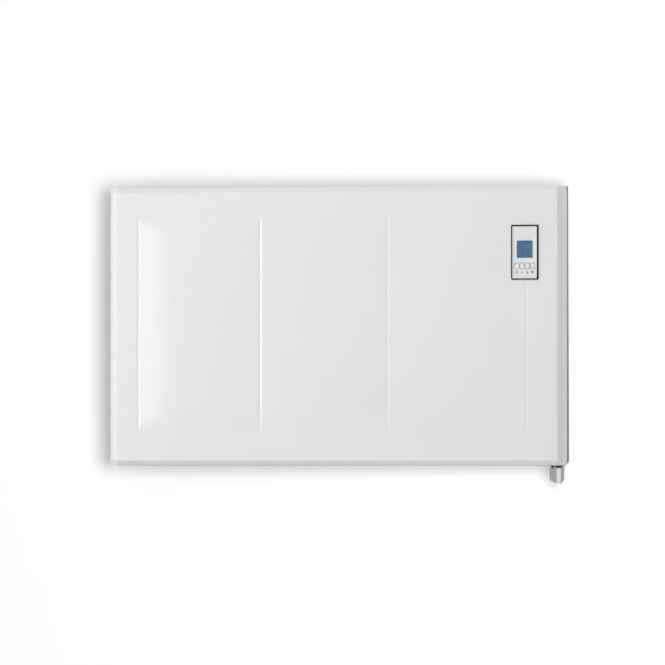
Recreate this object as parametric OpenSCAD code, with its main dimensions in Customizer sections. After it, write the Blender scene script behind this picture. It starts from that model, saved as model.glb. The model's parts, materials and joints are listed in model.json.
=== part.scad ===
// Wall-hung panel heater. A pressed steel front closes a folded rear casing, which holds a finned
// heating element behind the wide part of the front and the electronics behind the right-hand part.
// The heater hangs by four hooks on a bracket that is screwed to the wall, and lifts off it.
// Millimetres. X runs to the viewer's right, Y into the wall and Z up. The origin is the middle of
// the bracket's four fixing holes, on the face of the wall.

/* [Front panel] */
// Width of the front panel
panel_w = 765; // [750:1:800]
// Height of the front panel
panel_h = 450; // [440:1:480]
// Size of the bevel round the front, across and back
bevel = 7.5; // [5:0.5:11]
// Depth of the side returns behind the bevel
return_d = 26; // [22:0.5:34]
// Width of the flange folded in behind the returns
flange_w = 14; // [12:0.5:16]
// Thickness of the casing's sheet steel
sheet_t = 1; // [0.8:0.1:1.2]
// Width of the open seam at the mitred corners
seam = 0.6; // [0.3:0.1:1]

/* [Pressed pattern] */
// How far the pillows stand in front of the flat margins
pillow_rise = 2; // [0.5:0.1:3.5]
// Depth of the grooves between the pillows
groove_d = 0.6; // [0.3:0.1:1.6]
// Depth of the last groove, below the module
last_groove_d = 0.3; // [0.2:0.1:1.2]
// Half the width of a groove
groove_half = 3.2; // [2:0.2:5]
// First groove, from the left edge
groove_left = 49.5; // [45:0.5:60]
// Width of the first pillow
pillow_1 = 207; // [195:1:215]
// Width of the second pillow
pillow_2 = 216; // [200:1:220]
// Last groove, from the right edge
groove_right = 59; // [55:0.5:64]
// Lower end of the grooves, from the bottom edge
groove_low = 57; // [50:1:70]
// Upper end of the grooves, from the top edge
groove_high = 48; // [42:1:60]
// Run in which a pillow fades out at its ends
fade = 44; // [30:1:60]

/* [Rear casing] */
// Gap between the casing's back and the wall
wall_gap = 20; // [18:0.5:28]
// Depth of the rear casing
case_d = 33; // [30:0.5:40]
// How far the casing's walls stand in from the panel's edge
case_step = 20.5; // [19:0.5:24]
// How far the casing's rim stands out past the panel's edge
rim_over = 0.4; // [0.2:0.1:1]
// Depth of the hem round the casing's rim, at the top
hem_top = 3.5; // [2.5:0.5:6]
// Depth of the hem at the bottom
hem_low = 8.5; // [6.5:0.5:10]
// Cut off the lower corners across, where two folded edges meet
notch_x = 6; // [4:0.5:6.5]
// The same cut from front to back
notch_y = 19.5; // [15:0.5:22]
// The same cut up the sides
notch_z = 6; // [4:0.5:8]
// Width of an air slot
air_slot_w = 6; // [4:0.5:8]
// Length of an air slot
air_slot_l = 22; // [16:0.5:24]
// Distance from one air slot to the next
air_pitch = 14; // [12:0.5:18]
// Shank radius of the casing's screws
screw_r = 1.9; // [1.5:0.1:2.2]
// Outer screws along the top and the bottom, from the panel's sides
screw_corner_x = 82.5; // [70:0.5:95]
// Screws along the sides, from the panel's top and bottom
screw_corner_z = 115; // [100:1:130]
// Head radius of the casing's screws
screw_head_r = 3.6; // [3:0.1:4]
// Head height of the casing's screws
screw_head_h = 2.2; // [1.6:0.1:2.8]
// Length of the casing's screws under the head
screw_l = 8; // [6:0.5:12]
// Width of the stiffening beads across the casing's back
bead_w = 14; // [10:0.5:18]
// Depth of the stiffening beads
bead_d = 2; // [1:0.1:3]
// Distance from one bead to the next
bead_pitch = 60; // [50:1:70]

/* [Wall bracket] */
// Distance between the fixing holes across
fix_x = 300; // [280:2:320]
// Distance between the fixing holes up the wall
fix_z = 300; // [280:2:310]
// Radius of a fixing hole
fix_r = 3.5; // [2.5:0.1:4.5]
// Thickness of the bracket's steel
bracket_t = 2; // [1.5:0.1:2.5]
// Width of an upright
upright_w = 30; // [26:1:36]
// Length of an upright past its fixing holes
upright_end = 20; // [14:1:24]
// Gap between the bracket and the casing's back
bracket_gap = 3; // [2:0.5:5]
// Height of the rails
rail_h = 26; // [20:1:30]
// Depth of the rails
rail_d = 11; // [9:0.5:13]
// Distance from the middle of one rail to the middle of the other
rail_span = 180; // [160:2:190]
// Radius of a rivet
rivet_r = 2.4; // [1.6:0.1:2.8]
// Distance between the upper and the lower hooks
hook_span = 240; // [230:2:260]
// Height of a hook's arm
hook_arm = 8; // [6:0.5:10]
// How far a hook's tip rises over its arm
hook_rise = 10; // [6:0.5:12]
// Thickness of a hook's tip, front to back
hook_tip = 5; // [4:0.5:6]
// Travel that lifts the heater off its hooks
lift = 12; // [12:0.5:14]

/* [Chambers] */
// Partition from the middle of the module
partition_side = 60; // [54:1:66]
// Width of the partition's foot on the casing's back
partition_foot = 16; // [12:1:20]
// Depth of the space between the reflector and the casing's back
reflector_gap = 13; // [12:0.5:15]
// Thickness of the reflector
reflector_t = 0.8; // [0.5:0.1:1]
// Gap at each side of the reflector
reflector_side = 8; // [6:0.5:12]
// Gap above and below the reflector
reflector_end = 19; // [16:1:24]

/* [Heating element] */
// Length of the finned body
element_l = 450; // [400:5:500]
// Height of the element's centre line above the panel's bottom edge
element_up = 115; // [105:1:140]
// Radius of the heating rod
rod_r = 5; // [4:0.25:6]
// How far the rod stands out of each end of the finned body
rod_over = 22; // [18:1:26]
// Length of a wing, from the centre line
wing_l = 36; // [30:1:40]
// Thickness of a wing
wing_t = 1.8; // [1.4:0.1:2.4]
// Angle of a wing from the vertical
wing_angle = 33; // [25:1:38]
// Number of ribs on a wing
rib_count = 3; // [2:1:4]
// Length of a rib
rib_l = 7; // [4:0.5:8]
// Distance between the saw cuts across the wings
cut_pitch = 35; // [30:1:60]
// Overheat cut-out, from the middle of the element
cutout_side = 90; // [60:1:120]
// Overheat cut-out above the element
cutout_up = 105; // [90:1:115]

/* [Control module] */
// Width of the opening in the front
module_w = 45; // [44:0.5:48]
// Height of the opening in the front
module_h = 88; // [88:0.5:94]
// Centre of the opening from the panel's right edge
module_side = 61.5; // [60:0.5:64]
// Centre of the opening from the panel's top edge
module_down = 107; // [96:1:112]
// Gap round the bezel
module_gap = 2; // [1:0.1:2]
// How far the bezel stands in front of the panel
bezel_proud = 2; // [0.5:0.1:2.5]
// Depth of the bezel
bezel_d = 26; // [22:0.5:27]
// Wall of the bezel
bezel_wall = 2; // [1.8:0.1:2.4]
// How far the fascia lies behind the bezel's rim
fascia_set = 0.8; // [0.4:0.1:1.2]
// Thickness of the fascia
fascia_t = 1.6; // [1.2:0.1:2]
// Width of the display window
window_w = 26.5; // [22:0.5:28]
// Height of the display window
window_h = 28; // [24:0.5:30]
// Centre of the window above the opening's centre
window_up = 5; // [3:0.5:7]
// Space between two buttons
button_gap = 2; // [1.8:0.1:2.6]
// Space between the outer buttons and the bezel
button_side = 1.9; // [1.6:0.1:3.5]
// Height of a button
button_h = 9.8; // [8.6:0.1:10.4]
// Line of the buttons below the opening's centre
button_down = 22; // [21:0.5:25]
// Gap round a button
button_play = 0.4; // [0.3:0.05:0.5]
// How far a button stands in front of the fascia
button_proud = 0.6; // [0.3:0.1:1]
// Travel of a button
button_travel = 0.8; // [0.4:0.1:1]

/* [Room sensor] */
// Width of the sensor housing
sensor_w = 17; // [15:0.5:20]
// Depth of the sensor housing
sensor_d = 27; // [22:0.5:27]
// Height of the sensor housing at its low corner
sensor_h = 30.5; // [26:0.5:36]
// Rise of the underside from its low corner to the others
sensor_slope = 6.5; // [4:0.5:9]
// Chamfer on the housing's front corner
sensor_chamfer = 5.5; // [3:0.5:6]
// Wall of the housing
sensor_wall = 1.5; // [1.2:0.1:2]
// Gap between the housing's side and the panel's right edge
sensor_side = 6.5; // [5:0.5:9]
// Gap between the housing's front and the panel's front
sensor_back = 12; // [9.5:0.5:13]

/* [Electronics] */
// Width of the power board
board_w = 74; // [66:1:78]
// Height of the power board
board_h = 110; // [100:1:116]
// Power board's centre below the panel's centre
board_down = 5; // [0:1:10]
// Thickness of the circuit boards
board_t = 1.6; // [1:0.1:2]
// Height of the power board's spacers
spacer_h = 11; // [8:0.5:14]
// Bore radius of the cable inlet
inlet_r = 3.9; // [3:0.1:4.5]
// Cable inlet's centre below the panel's centre
inlet_down = 150; // [140:1:160]

/* [Hidden] */
$fn = 48;

paint = [0.93, 0.93, 0.92];
galvanised = [0.62, 0.64, 0.66];
casing_grey = [0.3, 0.31, 0.3];
plastic_white = [0.95, 0.95, 0.94];
plastic_grey = [0.74, 0.74, 0.73];
plastic_dark = [0.16, 0.16, 0.17];
bright_metal = [0.78, 0.79, 0.8];
board_green = [0.1, 0.34, 0.2];

// Clearance of a part that sits in or on another
fit = 0.3;
// Clearance of a pin in its bore
pin_play = 0.05;
// Clearance of a screw or a rivet in its hole
screw_play = 0.2;
// Clearance round a flat piece in its frame
panel_play = 0.15;
// Clearance between faces that lie on each other
face_play = 0.1;
// Overshoot of a cut past the face that it opens
over = 1;

// Planes from the wall to the front
case_back_y = -wall_gap;
case_in_y = case_back_y - sheet_t;
joint_y = case_back_y - case_d;
bevel_y = joint_y - return_d;
face_y = bevel_y - bevel;
face_in_y = face_y + sheet_t;

// Half sizes of the panel, the casing's rim and its walls
half_w = panel_w / 2;
half_h = panel_h / 2;
rim_x = half_w + rim_over;
rim_z = half_h + rim_over;
hem_y = joint_y + hem_low;
case_x = half_w - case_step;
case_z = half_h - case_step;

// Control module
module_x = half_w - module_side;
module_z = half_h - module_down;
window_z = module_z + window_up;
buttons_z = module_z - button_down;
bezel_w = module_w - 2 * module_gap;
bezel_h = module_h - 2 * module_gap;
inner_w = bezel_w / 2 - bezel_wall;
inner_h = bezel_h / 2 - bezel_wall;
bezel_y = face_y - bezel_proud;
fascia_y = bezel_y + fascia_set;
fascia_back_y = fascia_y + fascia_t;
bezel_ledge = 1.6;
bezel_ledge_t = 1.5;
lcd_y = fascia_back_y + face_play;
window_set = 0.2;
lcd_t = 4.4;
lcd_frame = 3;
control_board_y = lcd_y + lcd_t;
box_flange = 7;
box_wall = 2;
box_flange_t = 1.5;
box_well = 12;
stud_r = 1.5;
stud_l = 6;
stud_in = 12;
stud_nut_r = 2.5;
cable_w = 15;
cable_t = 0.9;
cable_down = 27;
box_back_y = bezel_y + bezel_d + fit + box_wall;
button_count = 4;
button_w = (2 * (inner_w - button_side) - (button_count - 1) * button_gap) / button_count;
button_pitch = button_w + button_gap;
button_lip = 0.7;
button_lip_t = 0.8;
button_stem_r = 1.5;
switch_body = 6;
switch_h = 1.2;
switch_pin_r = 1.2;
switch_pin_h = 0.3;

// Grooves of the pressed pattern
groove_x1 = -half_w + groove_left;
groove_x2 = groove_x1 + pillow_1;
groove_x3 = groove_x2 + pillow_2;
groove_x4 = half_w - groove_right;
grooves = [groove_x1, groove_x2, groove_x3, groove_x4];
groove_z0 = -half_h + groove_low;
groove_z1 = half_h - groove_high;
groove_end = 6;
pillow_over = 12;
press_side = 4;
press_end = 6;
pad = 14;
pad_blend = 30;
pad_x = module_x - module_w / 2 - pad;
pad_z0 = module_z - module_h / 2 - pad;
pad_z1 = module_z + module_h / 2 + pad;

// Chambers
partition_x = module_x - partition_side;
reflector_y = case_in_y - reflector_gap;
reflector_front_y = reflector_y - reflector_t;
reflector_x0 = -case_x + sheet_t + reflector_side;
reflector_x1 = partition_x - partition_foot - reflector_side;
reflector_z = case_z - sheet_t - reflector_end;
pressed_room = 3;

// Power board
board_x = (partition_x + case_x) / 2;
board_y = case_in_y - spacer_h;
board_front_y = board_y - board_t;
board_z = -board_down;
board_top_z = board_z + board_h / 2;
board_low_z = board_z - board_h / 2;
terminal_x = board_x + 6;
terminal_z = board_low_z + 9;
terminal_depth = 14;
terminal_pitch = 10;
terminal_well_d = 6;
terminal_well_z = terminal_z + 2.5;

// Heating element
element_x = (partition_x + sheet_t - case_x) / 2;
element_y = (face_in_y + reflector_front_y) / 2;
element_z = -half_h + element_up;
rod_end = element_l / 2 + rod_over;
tube_wall = 3;
cut_w = 1.2;
support_t = 1.5;
support_foot = 14;
support_front = 14;
support_low = 30;
support_top = 10;
bush_x = element_l / 2 + 12;
bush_r = 9;
bush_w = 8;
bush_neck_r = 7;
terminal_r = 1.6;
terminal_l = 12;
tab_gap = 2;
tab_l = 7;
tab_half = 3;
tab_h = 12;
tab_t = 0.8;

// Overheat cut-out on its clip
cutout_x = element_x + cutout_side;
cutout_z = element_z + cutout_up;
cutout_r = 8.5;
cutout_h = 9;
cutout_tab = 6;
clip_t = 1;
clip_y = reflector_front_y - clip_t;
cutout_front_y = clip_y - cutout_h;
cutout_tab_y = cutout_front_y - tab_t;

// Leads and the grommets that carry them through the partition
lead_r = 1.4;
lead_y = element_y;
lead_bend = 8;
lead_low_z = element_z + wing_l;
lead_high_z = cutout_z;
grommet_r = 5;
grommet_lip = 2;

// Wall bracket
upright_x = fix_x / 2;
upright_half = upright_w / 2;
upright_z = fix_z / 2 + upright_end;
web_y = case_back_y + bracket_gap;
rail_half = upright_x - upright_half;
rivet_head_r = rivet_r * 1.6;
rivet_head_h = 1.2;
rivet_y = -(rail_d + bracket_t) / 2;
rivet_z = (rail_h / 2 - bracket_t) / 2;
hook_x = upright_x + upright_half - bracket_t / 2;
hook_z = hook_span / 2;
hook_in_y = case_in_y - 4;
hook_end_y = hook_in_y - hook_tip;
hook_corner = 3;
hook_lead_in = 4;
slot_side = 1.5;
slot_room = 2;
seat_play = 0.2;

// Sensor housing
sensor_x1 = half_w - sensor_side;
sensor_x0 = sensor_x1 - sensor_w;
sensor_y0 = face_y + sensor_back;
sensor_y1 = sensor_y0 + sensor_d;
sensor_z = -half_h;
sensor_lid = 0.8;
chamfer_rise = 1;
vent_h = 3.6;
vent_z1 = sensor_z - sensor_lid;
vent_z0 = vent_z1 - vent_h;
vent_rib = 1.5;
neck_inset = 3;
neck_wall = 1.2;
neck_h = 9;
neck_y1 = joint_y - sheet_t - 1;
resin_r = 2.2;
resin_x = (sensor_x0 + sensor_x1) / 2;
resin_y = (sensor_y0 + neck_inset + neck_y1) / 2;
resin_z = sensor_z - 12;
strip_half = 6.5;
strip_t = 1.2;
strip_top_z = sensor_z + neck_h - 1;

// Cable inlet
inlet_x = board_x;
inlet_z = -inlet_down;
gland_r = 9;
gland_flange_r = 13;
gland_flange_t = 3;
gland_in = 13;
gland_nut_t = 5;

// Box between two corners
module span(lo, hi) {
    translate(lo)
        cube(hi - lo);
}

// Round peg along X, Y or Z between two places
module peg_x(r, x0, x1, y, z) {
    translate([x0, y, z])
        rotate([0, 90, 0])
            cylinder(r = r, h = x1 - x0);
}

module peg_y(r, y0, y1, x, z) {
    translate([x, y1, z])
        rotate([90, 0, 0])
            cylinder(r = r, h = y1 - y0);
}

module peg_z(r, z0, z1, x, y) {
    translate([x, y, z0])
        cylinder(r = r, h = z1 - z0);
}

// Box centred on X and Z, with half sizes, between two depths
module slab(hx, hz, y0, y1) {
    span([-hx, y0, -hz], [hx, y1, hz]);
}

function smooth(t) = let (c = max(0, min(1, t))) c * c * (3 - 2 * c);

// Share of the rise at a height: full in the middle, gone a little past the ends of the grooves
function end_fade(z) =
    smooth((z - groove_z0 + pillow_over) / fade) * smooth((groove_z1 + pillow_over - z) / fade);

// Share of the rise across a pillow between two grooves
function crown(x, a, b) = x <= a || x >= b ? 0 : 1 - pow((2 * x - a - b) / (b - a), 2);

// The panel is flat round the module, from the pad outwards the pillow comes up again
function pad_fade(x, z) =
    smooth(norm([max(pad_x - x, 0), max(pad_z0 - z, z - pad_z1, 0)]) / pad_blend);

// Depth of a groove; the last one ends under the module
function groove(x, z, c, top, depth = groove_d) =
    depth * smooth(1 - abs(x - c) / groove_half)
    * smooth((z - groove_z0) / groove_end + 0.5) * smooth((top - z) / groove_end + 0.5);

function rise(x, z) =
    pillow_rise * end_fade(z) * pad_fade(x, z)
    * (crown(x, groove_x1, groove_x2) + crown(x, groove_x2, groove_x3) + crown(x, groove_x3, groove_x4))
    - groove(x, z, groove_x1, groove_z1) - groove(x, z, groove_x2, groove_z1)
    - groove(x, z, groove_x3, groove_z1) - groove(x, z, groove_x4, pad_z0 + groove_end / 2, last_groove_d);

// Numbers in rising order, each once
function rising(v) = len(v) == 0 ? [] :
    let (middle = v[floor(len(v) / 2)])
        concat(
            rising([for (x = v) if (x < middle) x]),
            [middle],
            rising([for (x = v) if (x > middle) x])
        );

// Grid lines of the pressed sheet
function steps(a, b, n) = [for (i = [1 : n - 1]) a + (b - a) * i / n];
function groove_lines(c) = [for (s = [-1, -0.5, 0, 0.5, 1]) c + s * groove_half];

press_x0 = groove_x1 - groove_half - press_side;
press_x1 = module_x + module_w / 2 + press_end;
press_z0 = groove_z0 - pillow_over;
press_z1 = groove_z1 + pillow_over;
press_xs = rising(concat(
    [press_x0],
    groove_lines(groove_x1), steps(groove_x1 + groove_half, groove_x2 - groove_half, 6),
    groove_lines(groove_x2), steps(groove_x2 + groove_half, groove_x3 - groove_half, 6),
    groove_lines(groove_x3), steps(groove_x3 + groove_half, pad_x - pad_blend, 4),
    [for (s = [0 : 0.25 : 1]) pad_x - pad_blend * (1 - s)],
    [module_x - module_w / 2],
    groove_lines(groove_x4),
    [module_x + module_w / 2, press_x1]
));
press_zs = rising(concat(
    [press_z0, groove_z0 - groove_end, groove_z0, groove_z0 + groove_end],
    steps(groove_z0 + groove_end, groove_z0 + fade, 3),
    steps(groove_z0 + fade, pad_z0 - pad_blend, 5),
    [for (s = [0 : 0.25 : 1]) pad_z0 - pad_blend * (1 - s)],
    [module_z - module_h / 2, module_z, module_z + module_h / 2],
    [groove_z1 - groove_end, groove_z1, groove_z1 + groove_end, press_z1]
));

// Sheet of the pressed pattern: the same relief on its front and its back, with the module's opening
module pressed_sheet() {
    nx = len(press_xs);
    nz = len(press_zs);
    mid_x = [for (i = [0 : nx - 2]) (press_xs[i] + press_xs[i + 1]) / 2];
    mid_z = [for (j = [0 : nz - 2]) (press_zs[j] + press_zs[j + 1]) / 2];
    sheet = [
        for (i = [-1 : nx - 1]) [
            for (j = [-1 : nz - 1])
                i >= 0 && i < nx - 1 && j >= 0 && j < nz - 1
                && !(abs(mid_x[i] - module_x) < module_w / 2 && abs(mid_z[j] - module_z) < module_h / 2)
        ]
    ];
    back = nx * nz;
    points = [
        for (depth = [0, sheet_t], x = press_xs, z = press_zs) [x, face_y + depth - rise(x, z), z]
    ];
    faces = [
        for (i = [0 : nx - 2], j = [0 : nz - 2])
            if (sheet[i + 1][j + 1])
                let (a = i * nz + j, b = a + 1, c = a + nz + 1, d = a + nz)
                    each concat(
                        [[a, b, c], [a, c, d]],
                        [[back + c, back + b, back + a], [back + d, back + c, back + a]],
                        sheet[i][j + 1] ? [] : [[b, a, back + a, back + b]],
                        sheet[i + 2][j + 1] ? [] : [[d, c, back + c, back + d]],
                        sheet[i + 1][j] ? [] : [[a, d, back + d, back + a]],
                        sheet[i + 1][j + 2] ? [] : [[c, b, back + b, back + c]]
                    )
    ];
    polyhedron(points, faces, convexity = 6);
}

// Block whose four sides slope from a small front to a larger back
module bevel_block(hx0, hz0, y0, hx1, hz1, y1) {
    corners = [[-1, -1], [1, -1], [1, 1], [-1, 1]];
    points = concat(
        [for (c = corners) [c.x * hx0, y0, c.y * hz0]],
        [for (c = corners) [c.x * hx1, y1, c.y * hz1]]
    );
    sides = [for (i = [0 : 3]) let (n = (i + 1) % 4) [i, n, n + 4, i + 4]];
    polyhedron(points, concat([[3, 2, 1, 0], [4, 5, 6, 7]], sides));
}

// Places of the casing's screws, in the middle of the folded flange
screw_x = half_w - flange_w / 2;
screw_z = half_h - flange_w / 2;
screw_places = concat(
    [for (k = [-1, -1 / 3, 1 / 3, 1], s = [-1, 1]) [k * (half_w - screw_corner_x), s * screw_z]],
    [for (s = [-1, 1], t = [-1, 1]) [s * screw_x, t * (half_h - screw_corner_z)]]
);

// Cutter for the two lower corners, where the folded edges leave each other free
module corner_notches() {
    far = [rim_x + over, hem_y + over, -rim_z - over];
    reach = [notch_x, notch_y, notch_z] * (1 + over / notch_x + over / notch_y + over / notch_z);
    points = [
        far, far - [reach.x, 0, 0], far - [0, reach.y, 0], far + [0, 0, reach.z]
    ];
    for (s = [0, 1])
        mirror([s, 0, 0])
            polyhedron(points, [[3, 2, 1], [0, 1, 2], [0, 2, 3], [0, 3, 1]]);
}

module front_panel() {
    mitre = sheet_t * (sqrt(2) - 1);
    face_x = half_w - bevel;
    face_z = half_h - bevel;
    color(paint)
        union() {
            difference() {
                union() {
                    bevel_block(face_x, face_z, face_y, half_w, half_h, bevel_y);
                    slab(half_w, half_h, bevel_y, joint_y);
                }
                bevel_block(
                    face_x - mitre, face_z - mitre, face_in_y,
                    half_w - sheet_t, half_h - sheet_t, bevel_y + mitre
                );
                slab(half_w - sheet_t, half_h - sheet_t, bevel_y + mitre, joint_y - sheet_t);
                slab(half_w - flange_w, half_h - flange_w, bevel_y + mitre, joint_y + over);
                span([press_x0, face_y - over, press_z0], [press_x1, face_in_y + over, press_z1]);
                for (s = [-1, 1], t = [-1, 1])
                    translate([s * half_w, bevel_y, t * half_h])
                        rotate([0, -45 * s * t, 0])
                            slab(bevel * sqrt(2), seam / 2, -bevel - over, 0);
                for (p = screw_places)
                    peg_y(screw_r + screw_play, joint_y - sheet_t - over, joint_y + over, p.x, p.y);
                span(
                    [sensor_x0 + neck_inset - fit, sensor_y0 + neck_inset - fit, -half_h - over],
                    [sensor_x1 - neck_inset + fit, neck_y1 + fit, -half_h + sheet_t + over]
                );
                corner_notches();
            }
            pressed_sheet();
        }
}

// One air slot with round ends, cut up or down through a wall
module air_slot(x, z) {
    reach = air_slot_l / 2 - air_slot_w / 2;
    y = (joint_y + case_in_y) / 2;
    translate([x, y, z]) {
        cube([air_slot_w, 2 * reach, 4 * sheet_t], center = true);
        for (s = [-1, 1])
            translate([0, s * reach, 0])
                cylinder(d = air_slot_w, h = 4 * sheet_t, center = true);
    }
}

// Slot for one hook: the lower part of it leaves room for the lift
module hook_slot(x, z) {
    half = bracket_t / 2 + slot_side;
    span(
        [x - half, case_in_y - bead_d - over, z - hook_arm - lift - slot_room],
        [x + half, case_back_y + over, z + seat_play]
    );
}

// Stiffening bead pressed into the casing's back, between two places along X
module bead(x0, x1, z, half, y0, y1) {
    span([x0, y0, z - half], [x1, y1, z + half]);
    for (x = [x0, x1])
        peg_y(half, y0, y1, x, z);
}

// Cutter for the hem, which gets deeper towards the bottom
module behind_hem() {
    translate([-rim_x - over, hem_y, -rim_z])
        rotate([atan2(hem_low - hem_top, 2 * rim_z), 0, 0])
            translate([0, 0, -2 * over])
                cube([2 * (rim_x + over), hem_low, 2 * rim_z + 4 * over]);
}

module rear_cover() {
    air_half = floor((case_x - air_pitch) / air_pitch - 1);
    bead_x0 = reflector_x0 + 2 * bead_w;
    bead_x1 = reflector_x1 - 2 * bead_w;
    bead_zs = [-bead_pitch, 0, bead_pitch];
    color(casing_grey)
        difference() {
            union() {
                for (z = bead_zs)
                    bead(bead_x0, bead_x1, z, bead_w / 2, case_in_y - bead_d, case_in_y);
                difference() {
                    slab(case_x, case_z, joint_y, case_back_y);
                    slab(case_x - sheet_t, case_z - sheet_t, joint_y - over, case_in_y);
                }
                difference() {
                    slab(rim_x, rim_z, joint_y, hem_y);
                    slab(rim_x - sheet_t, rim_z - sheet_t, joint_y + sheet_t, hem_y + over);
                    behind_hem();
                    slab(
                        case_x - sheet_t / 2, case_z - sheet_t / 2,
                        joint_y - over, joint_y + sheet_t + over
                    );
                }
            }
            for (z = bead_zs)
                bead(bead_x0, bead_x1, z, bead_w / 2 - sheet_t, case_back_y - bead_d, case_back_y + over);
            for (i = [-air_half : air_half], s = [-1, 1])
                air_slot(i * air_pitch, s * (case_z - sheet_t / 2));
            for (s = [-1, 1], z = [-hook_z, hook_z])
                hook_slot(s * hook_x, z);
            for (p = screw_places)
                peg_y(screw_r + screw_play, joint_y - over, joint_y + sheet_t + over, p.x, p.y);
            peg_y(gland_r + fit, case_in_y - over, case_back_y + over, inlet_x, inlet_z);
            corner_notches();
            span(
                [sensor_x0 - fit, joint_y - over, -rim_z - over],
                [sensor_x1 + fit, sensor_y1 + fit, -half_h + face_play]
            );
        }
}

// Screw driven from the back, with a domed edge to its head
module back_screw(x, z) {
    head_y = joint_y + sheet_t;
    edge_y = head_y + screw_head_h * 0.6;
    peg_y(screw_r, head_y - screw_l, head_y, x, z);
    peg_y(screw_head_r, head_y, edge_y, x, z);
    translate([x, edge_y, z])
        rotate([-90, 0, 0])
            cylinder(r1 = screw_head_r, r2 = screw_head_r * 0.75, h = head_y + screw_head_h - edge_y);
}

module case_screws() {
    color(bright_metal)
        for (p = screw_places)
            back_screw(p.x, p.y);
}

// Sheet wall between the heating chamber and the electronics, on a foot against the casing's back
module partition() {
    top = case_z - sheet_t - fit;
    far = partition_x + sheet_t;
    color(galvanised)
        difference() {
            union() {
                span([partition_x, face_in_y + pressed_room, -top], [far, case_in_y, top]);
                span([partition_x - partition_foot, case_in_y - sheet_t, -top], [far, case_in_y, top]);
            }
            for (z = [lead_low_z, lead_high_z])
                peg_x(grommet_r, partition_x - over, far + over, lead_y, z);
        }
}

// Reflector behind the element, standing on its folded edges
module reflector() {
    color(bright_metal)
        difference() {
            span([reflector_x0, reflector_front_y, -reflector_z], [reflector_x1, case_in_y, reflector_z]);
            span(
                [reflector_x0 - over, reflector_y, -reflector_z + reflector_t],
                [reflector_x1 + over, case_in_y + over, reflector_z - reflector_t]
            );
        }
}

// Section of the finned body: a tube for the rod and four ribbed wings
module element_section() {
    tube_r = rod_r + tube_wall;
    rib_pitch = (wing_l - tube_r) / rib_count;
    rib_t = wing_t * 0.7;
    difference() {
        union() {
            circle(r = tube_r);
            for (a = [wing_angle, 180 - wing_angle, 180 + wing_angle, -wing_angle])
                rotate(a) {
                    translate([0, -wing_t / 2])
                        square([wing_l, wing_t]);
                    for (k = [1 : rib_count])
                        translate([tube_r + k * rib_pitch - wing_t, -rib_l / 2])
                            square([rib_t, rib_l]);
                }
        }
        circle(r = rod_r + pin_play);
    }
}

module element_body() {
    cuts = floor((element_l - cut_pitch / 2) / cut_pitch);
    color(bright_metal)
        difference() {
            translate([element_x - element_l / 2, element_y, element_z])
                rotate([0, 90, 0])
                    linear_extrude(element_l)
                        element_section();
            for (i = [0 : cuts], s = [-1, 1])
                translate([element_x + (i - cuts / 2) * cut_pitch, element_y, element_z + s * wing_l])
                    cube([cut_w, 2 * wing_l, wing_l], center = true);
        }
}

module heating_rod() {
    pin_end = rod_end + terminal_l;
    color([0.35, 0.34, 0.33])
        union() {
            peg_x(rod_r, element_x - rod_end, element_x + rod_end, element_y, element_z);
            peg_x(terminal_r, element_x - pin_end, element_x + pin_end, element_y, element_z);
        }
}

// Flat tabs pushed over the rod's two terminal pins
module terminal_tabs() {
    slot = tab_half - tab_t;
    color([0.8, 0.7, 0.4])
        for (s = [-1, 1])
            translate([element_x + s * (rod_end + tab_gap + tab_l / 2) - tab_l / 2, element_y, element_z])
                difference() {
                    span([0, -tab_half, -tab_half], [tab_l, tab_half, tab_h]);
                    peg_x(terminal_r + pin_play, -over, tab_l + over, 0, 0);
                    span([-over, -slot, tab_half], [tab_l + over, slot, tab_h + over]);
                }
}

// Ceramic bush with a neck that drops into the support's fork
module element_bush(s) {
    half = bush_w / 2;
    neck = (support_t + fit) / 2;
    color([0.9, 0.88, 0.82])
        translate([element_x + s * bush_x, element_y, element_z])
            difference() {
                union() {
                    peg_x(bush_neck_r, -half, half, 0, 0);
                    peg_x(bush_r, -half, -neck, 0, 0);
                    peg_x(bush_r, neck, half, 0, 0);
                }
                peg_x(rod_r + pin_play, -bush_w, bush_w, 0, 0);
            }
}

module element_bush_left() {
    element_bush(-1);
}

module element_bush_right() {
    element_bush(1);
}

// Steel fork that stands on the reflector and carries one bush
module element_support(s) {
    x = element_x + s * bush_x;
    low = element_z - support_low;
    high = element_z + support_top;
    half = support_t / 2;
    fork = bush_neck_r + fit / 2;
    foot = [x, x + s * support_foot];
    color(galvanised)
        difference() {
            union() {
                span([x - half, element_y - support_front, low], [x + half, reflector_front_y, high]);
                span(
                    [min(foot) - half, reflector_front_y - support_t, low],
                    [max(foot) + half, reflector_front_y, high]
                );
            }
            peg_x(fork, x - half - over, x + half + over, element_y, element_z);
            span(
                [x - half - over, element_y - fork, element_z],
                [x + half + over, element_y + fork, high + over]
            );
        }
}

module element_support_left() {
    element_support(-1);
}

module element_support_right() {
    element_support(1);
}

// Overheat cut-out: a bimetal disc in a rimmed can, with two tabs in front
module thermal_cutout() {
    rim = 1.5;
    rim_t = 2;
    tab_x = cutout_r - cutout_tab / 2 - 0.5;
    half = cutout_tab / 2;
    color([0.2, 0.2, 0.21])
        translate([cutout_x, 0, cutout_z])
            union() {
                peg_y(cutout_r, cutout_front_y, clip_y, 0, 0);
                peg_y(cutout_r + rim, clip_y - rim_t, clip_y, 0, 0);
                for (s = [-1, 1])
                    span([s * tab_x - half, cutout_tab_y, -half], [s * tab_x + half, cutout_front_y, half]);
            }
}

// Clip on the reflector, with an arm on each side of the cut-out
module cutout_clip() {
    reach = 24;
    wide = 8;
    arm_x = cutout_r + 2;
    arm_h = 4;
    color(galvanised)
        translate([cutout_x, 0, cutout_z])
            union() {
                span([-reach, clip_y, -wide], [reach, reflector_front_y, wide]);
                for (x = [-arm_x - clip_t, arm_x])
                    span([x, clip_y - arm_h, -wide], [x + clip_t, clip_y, wide]);
            }
}

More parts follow.
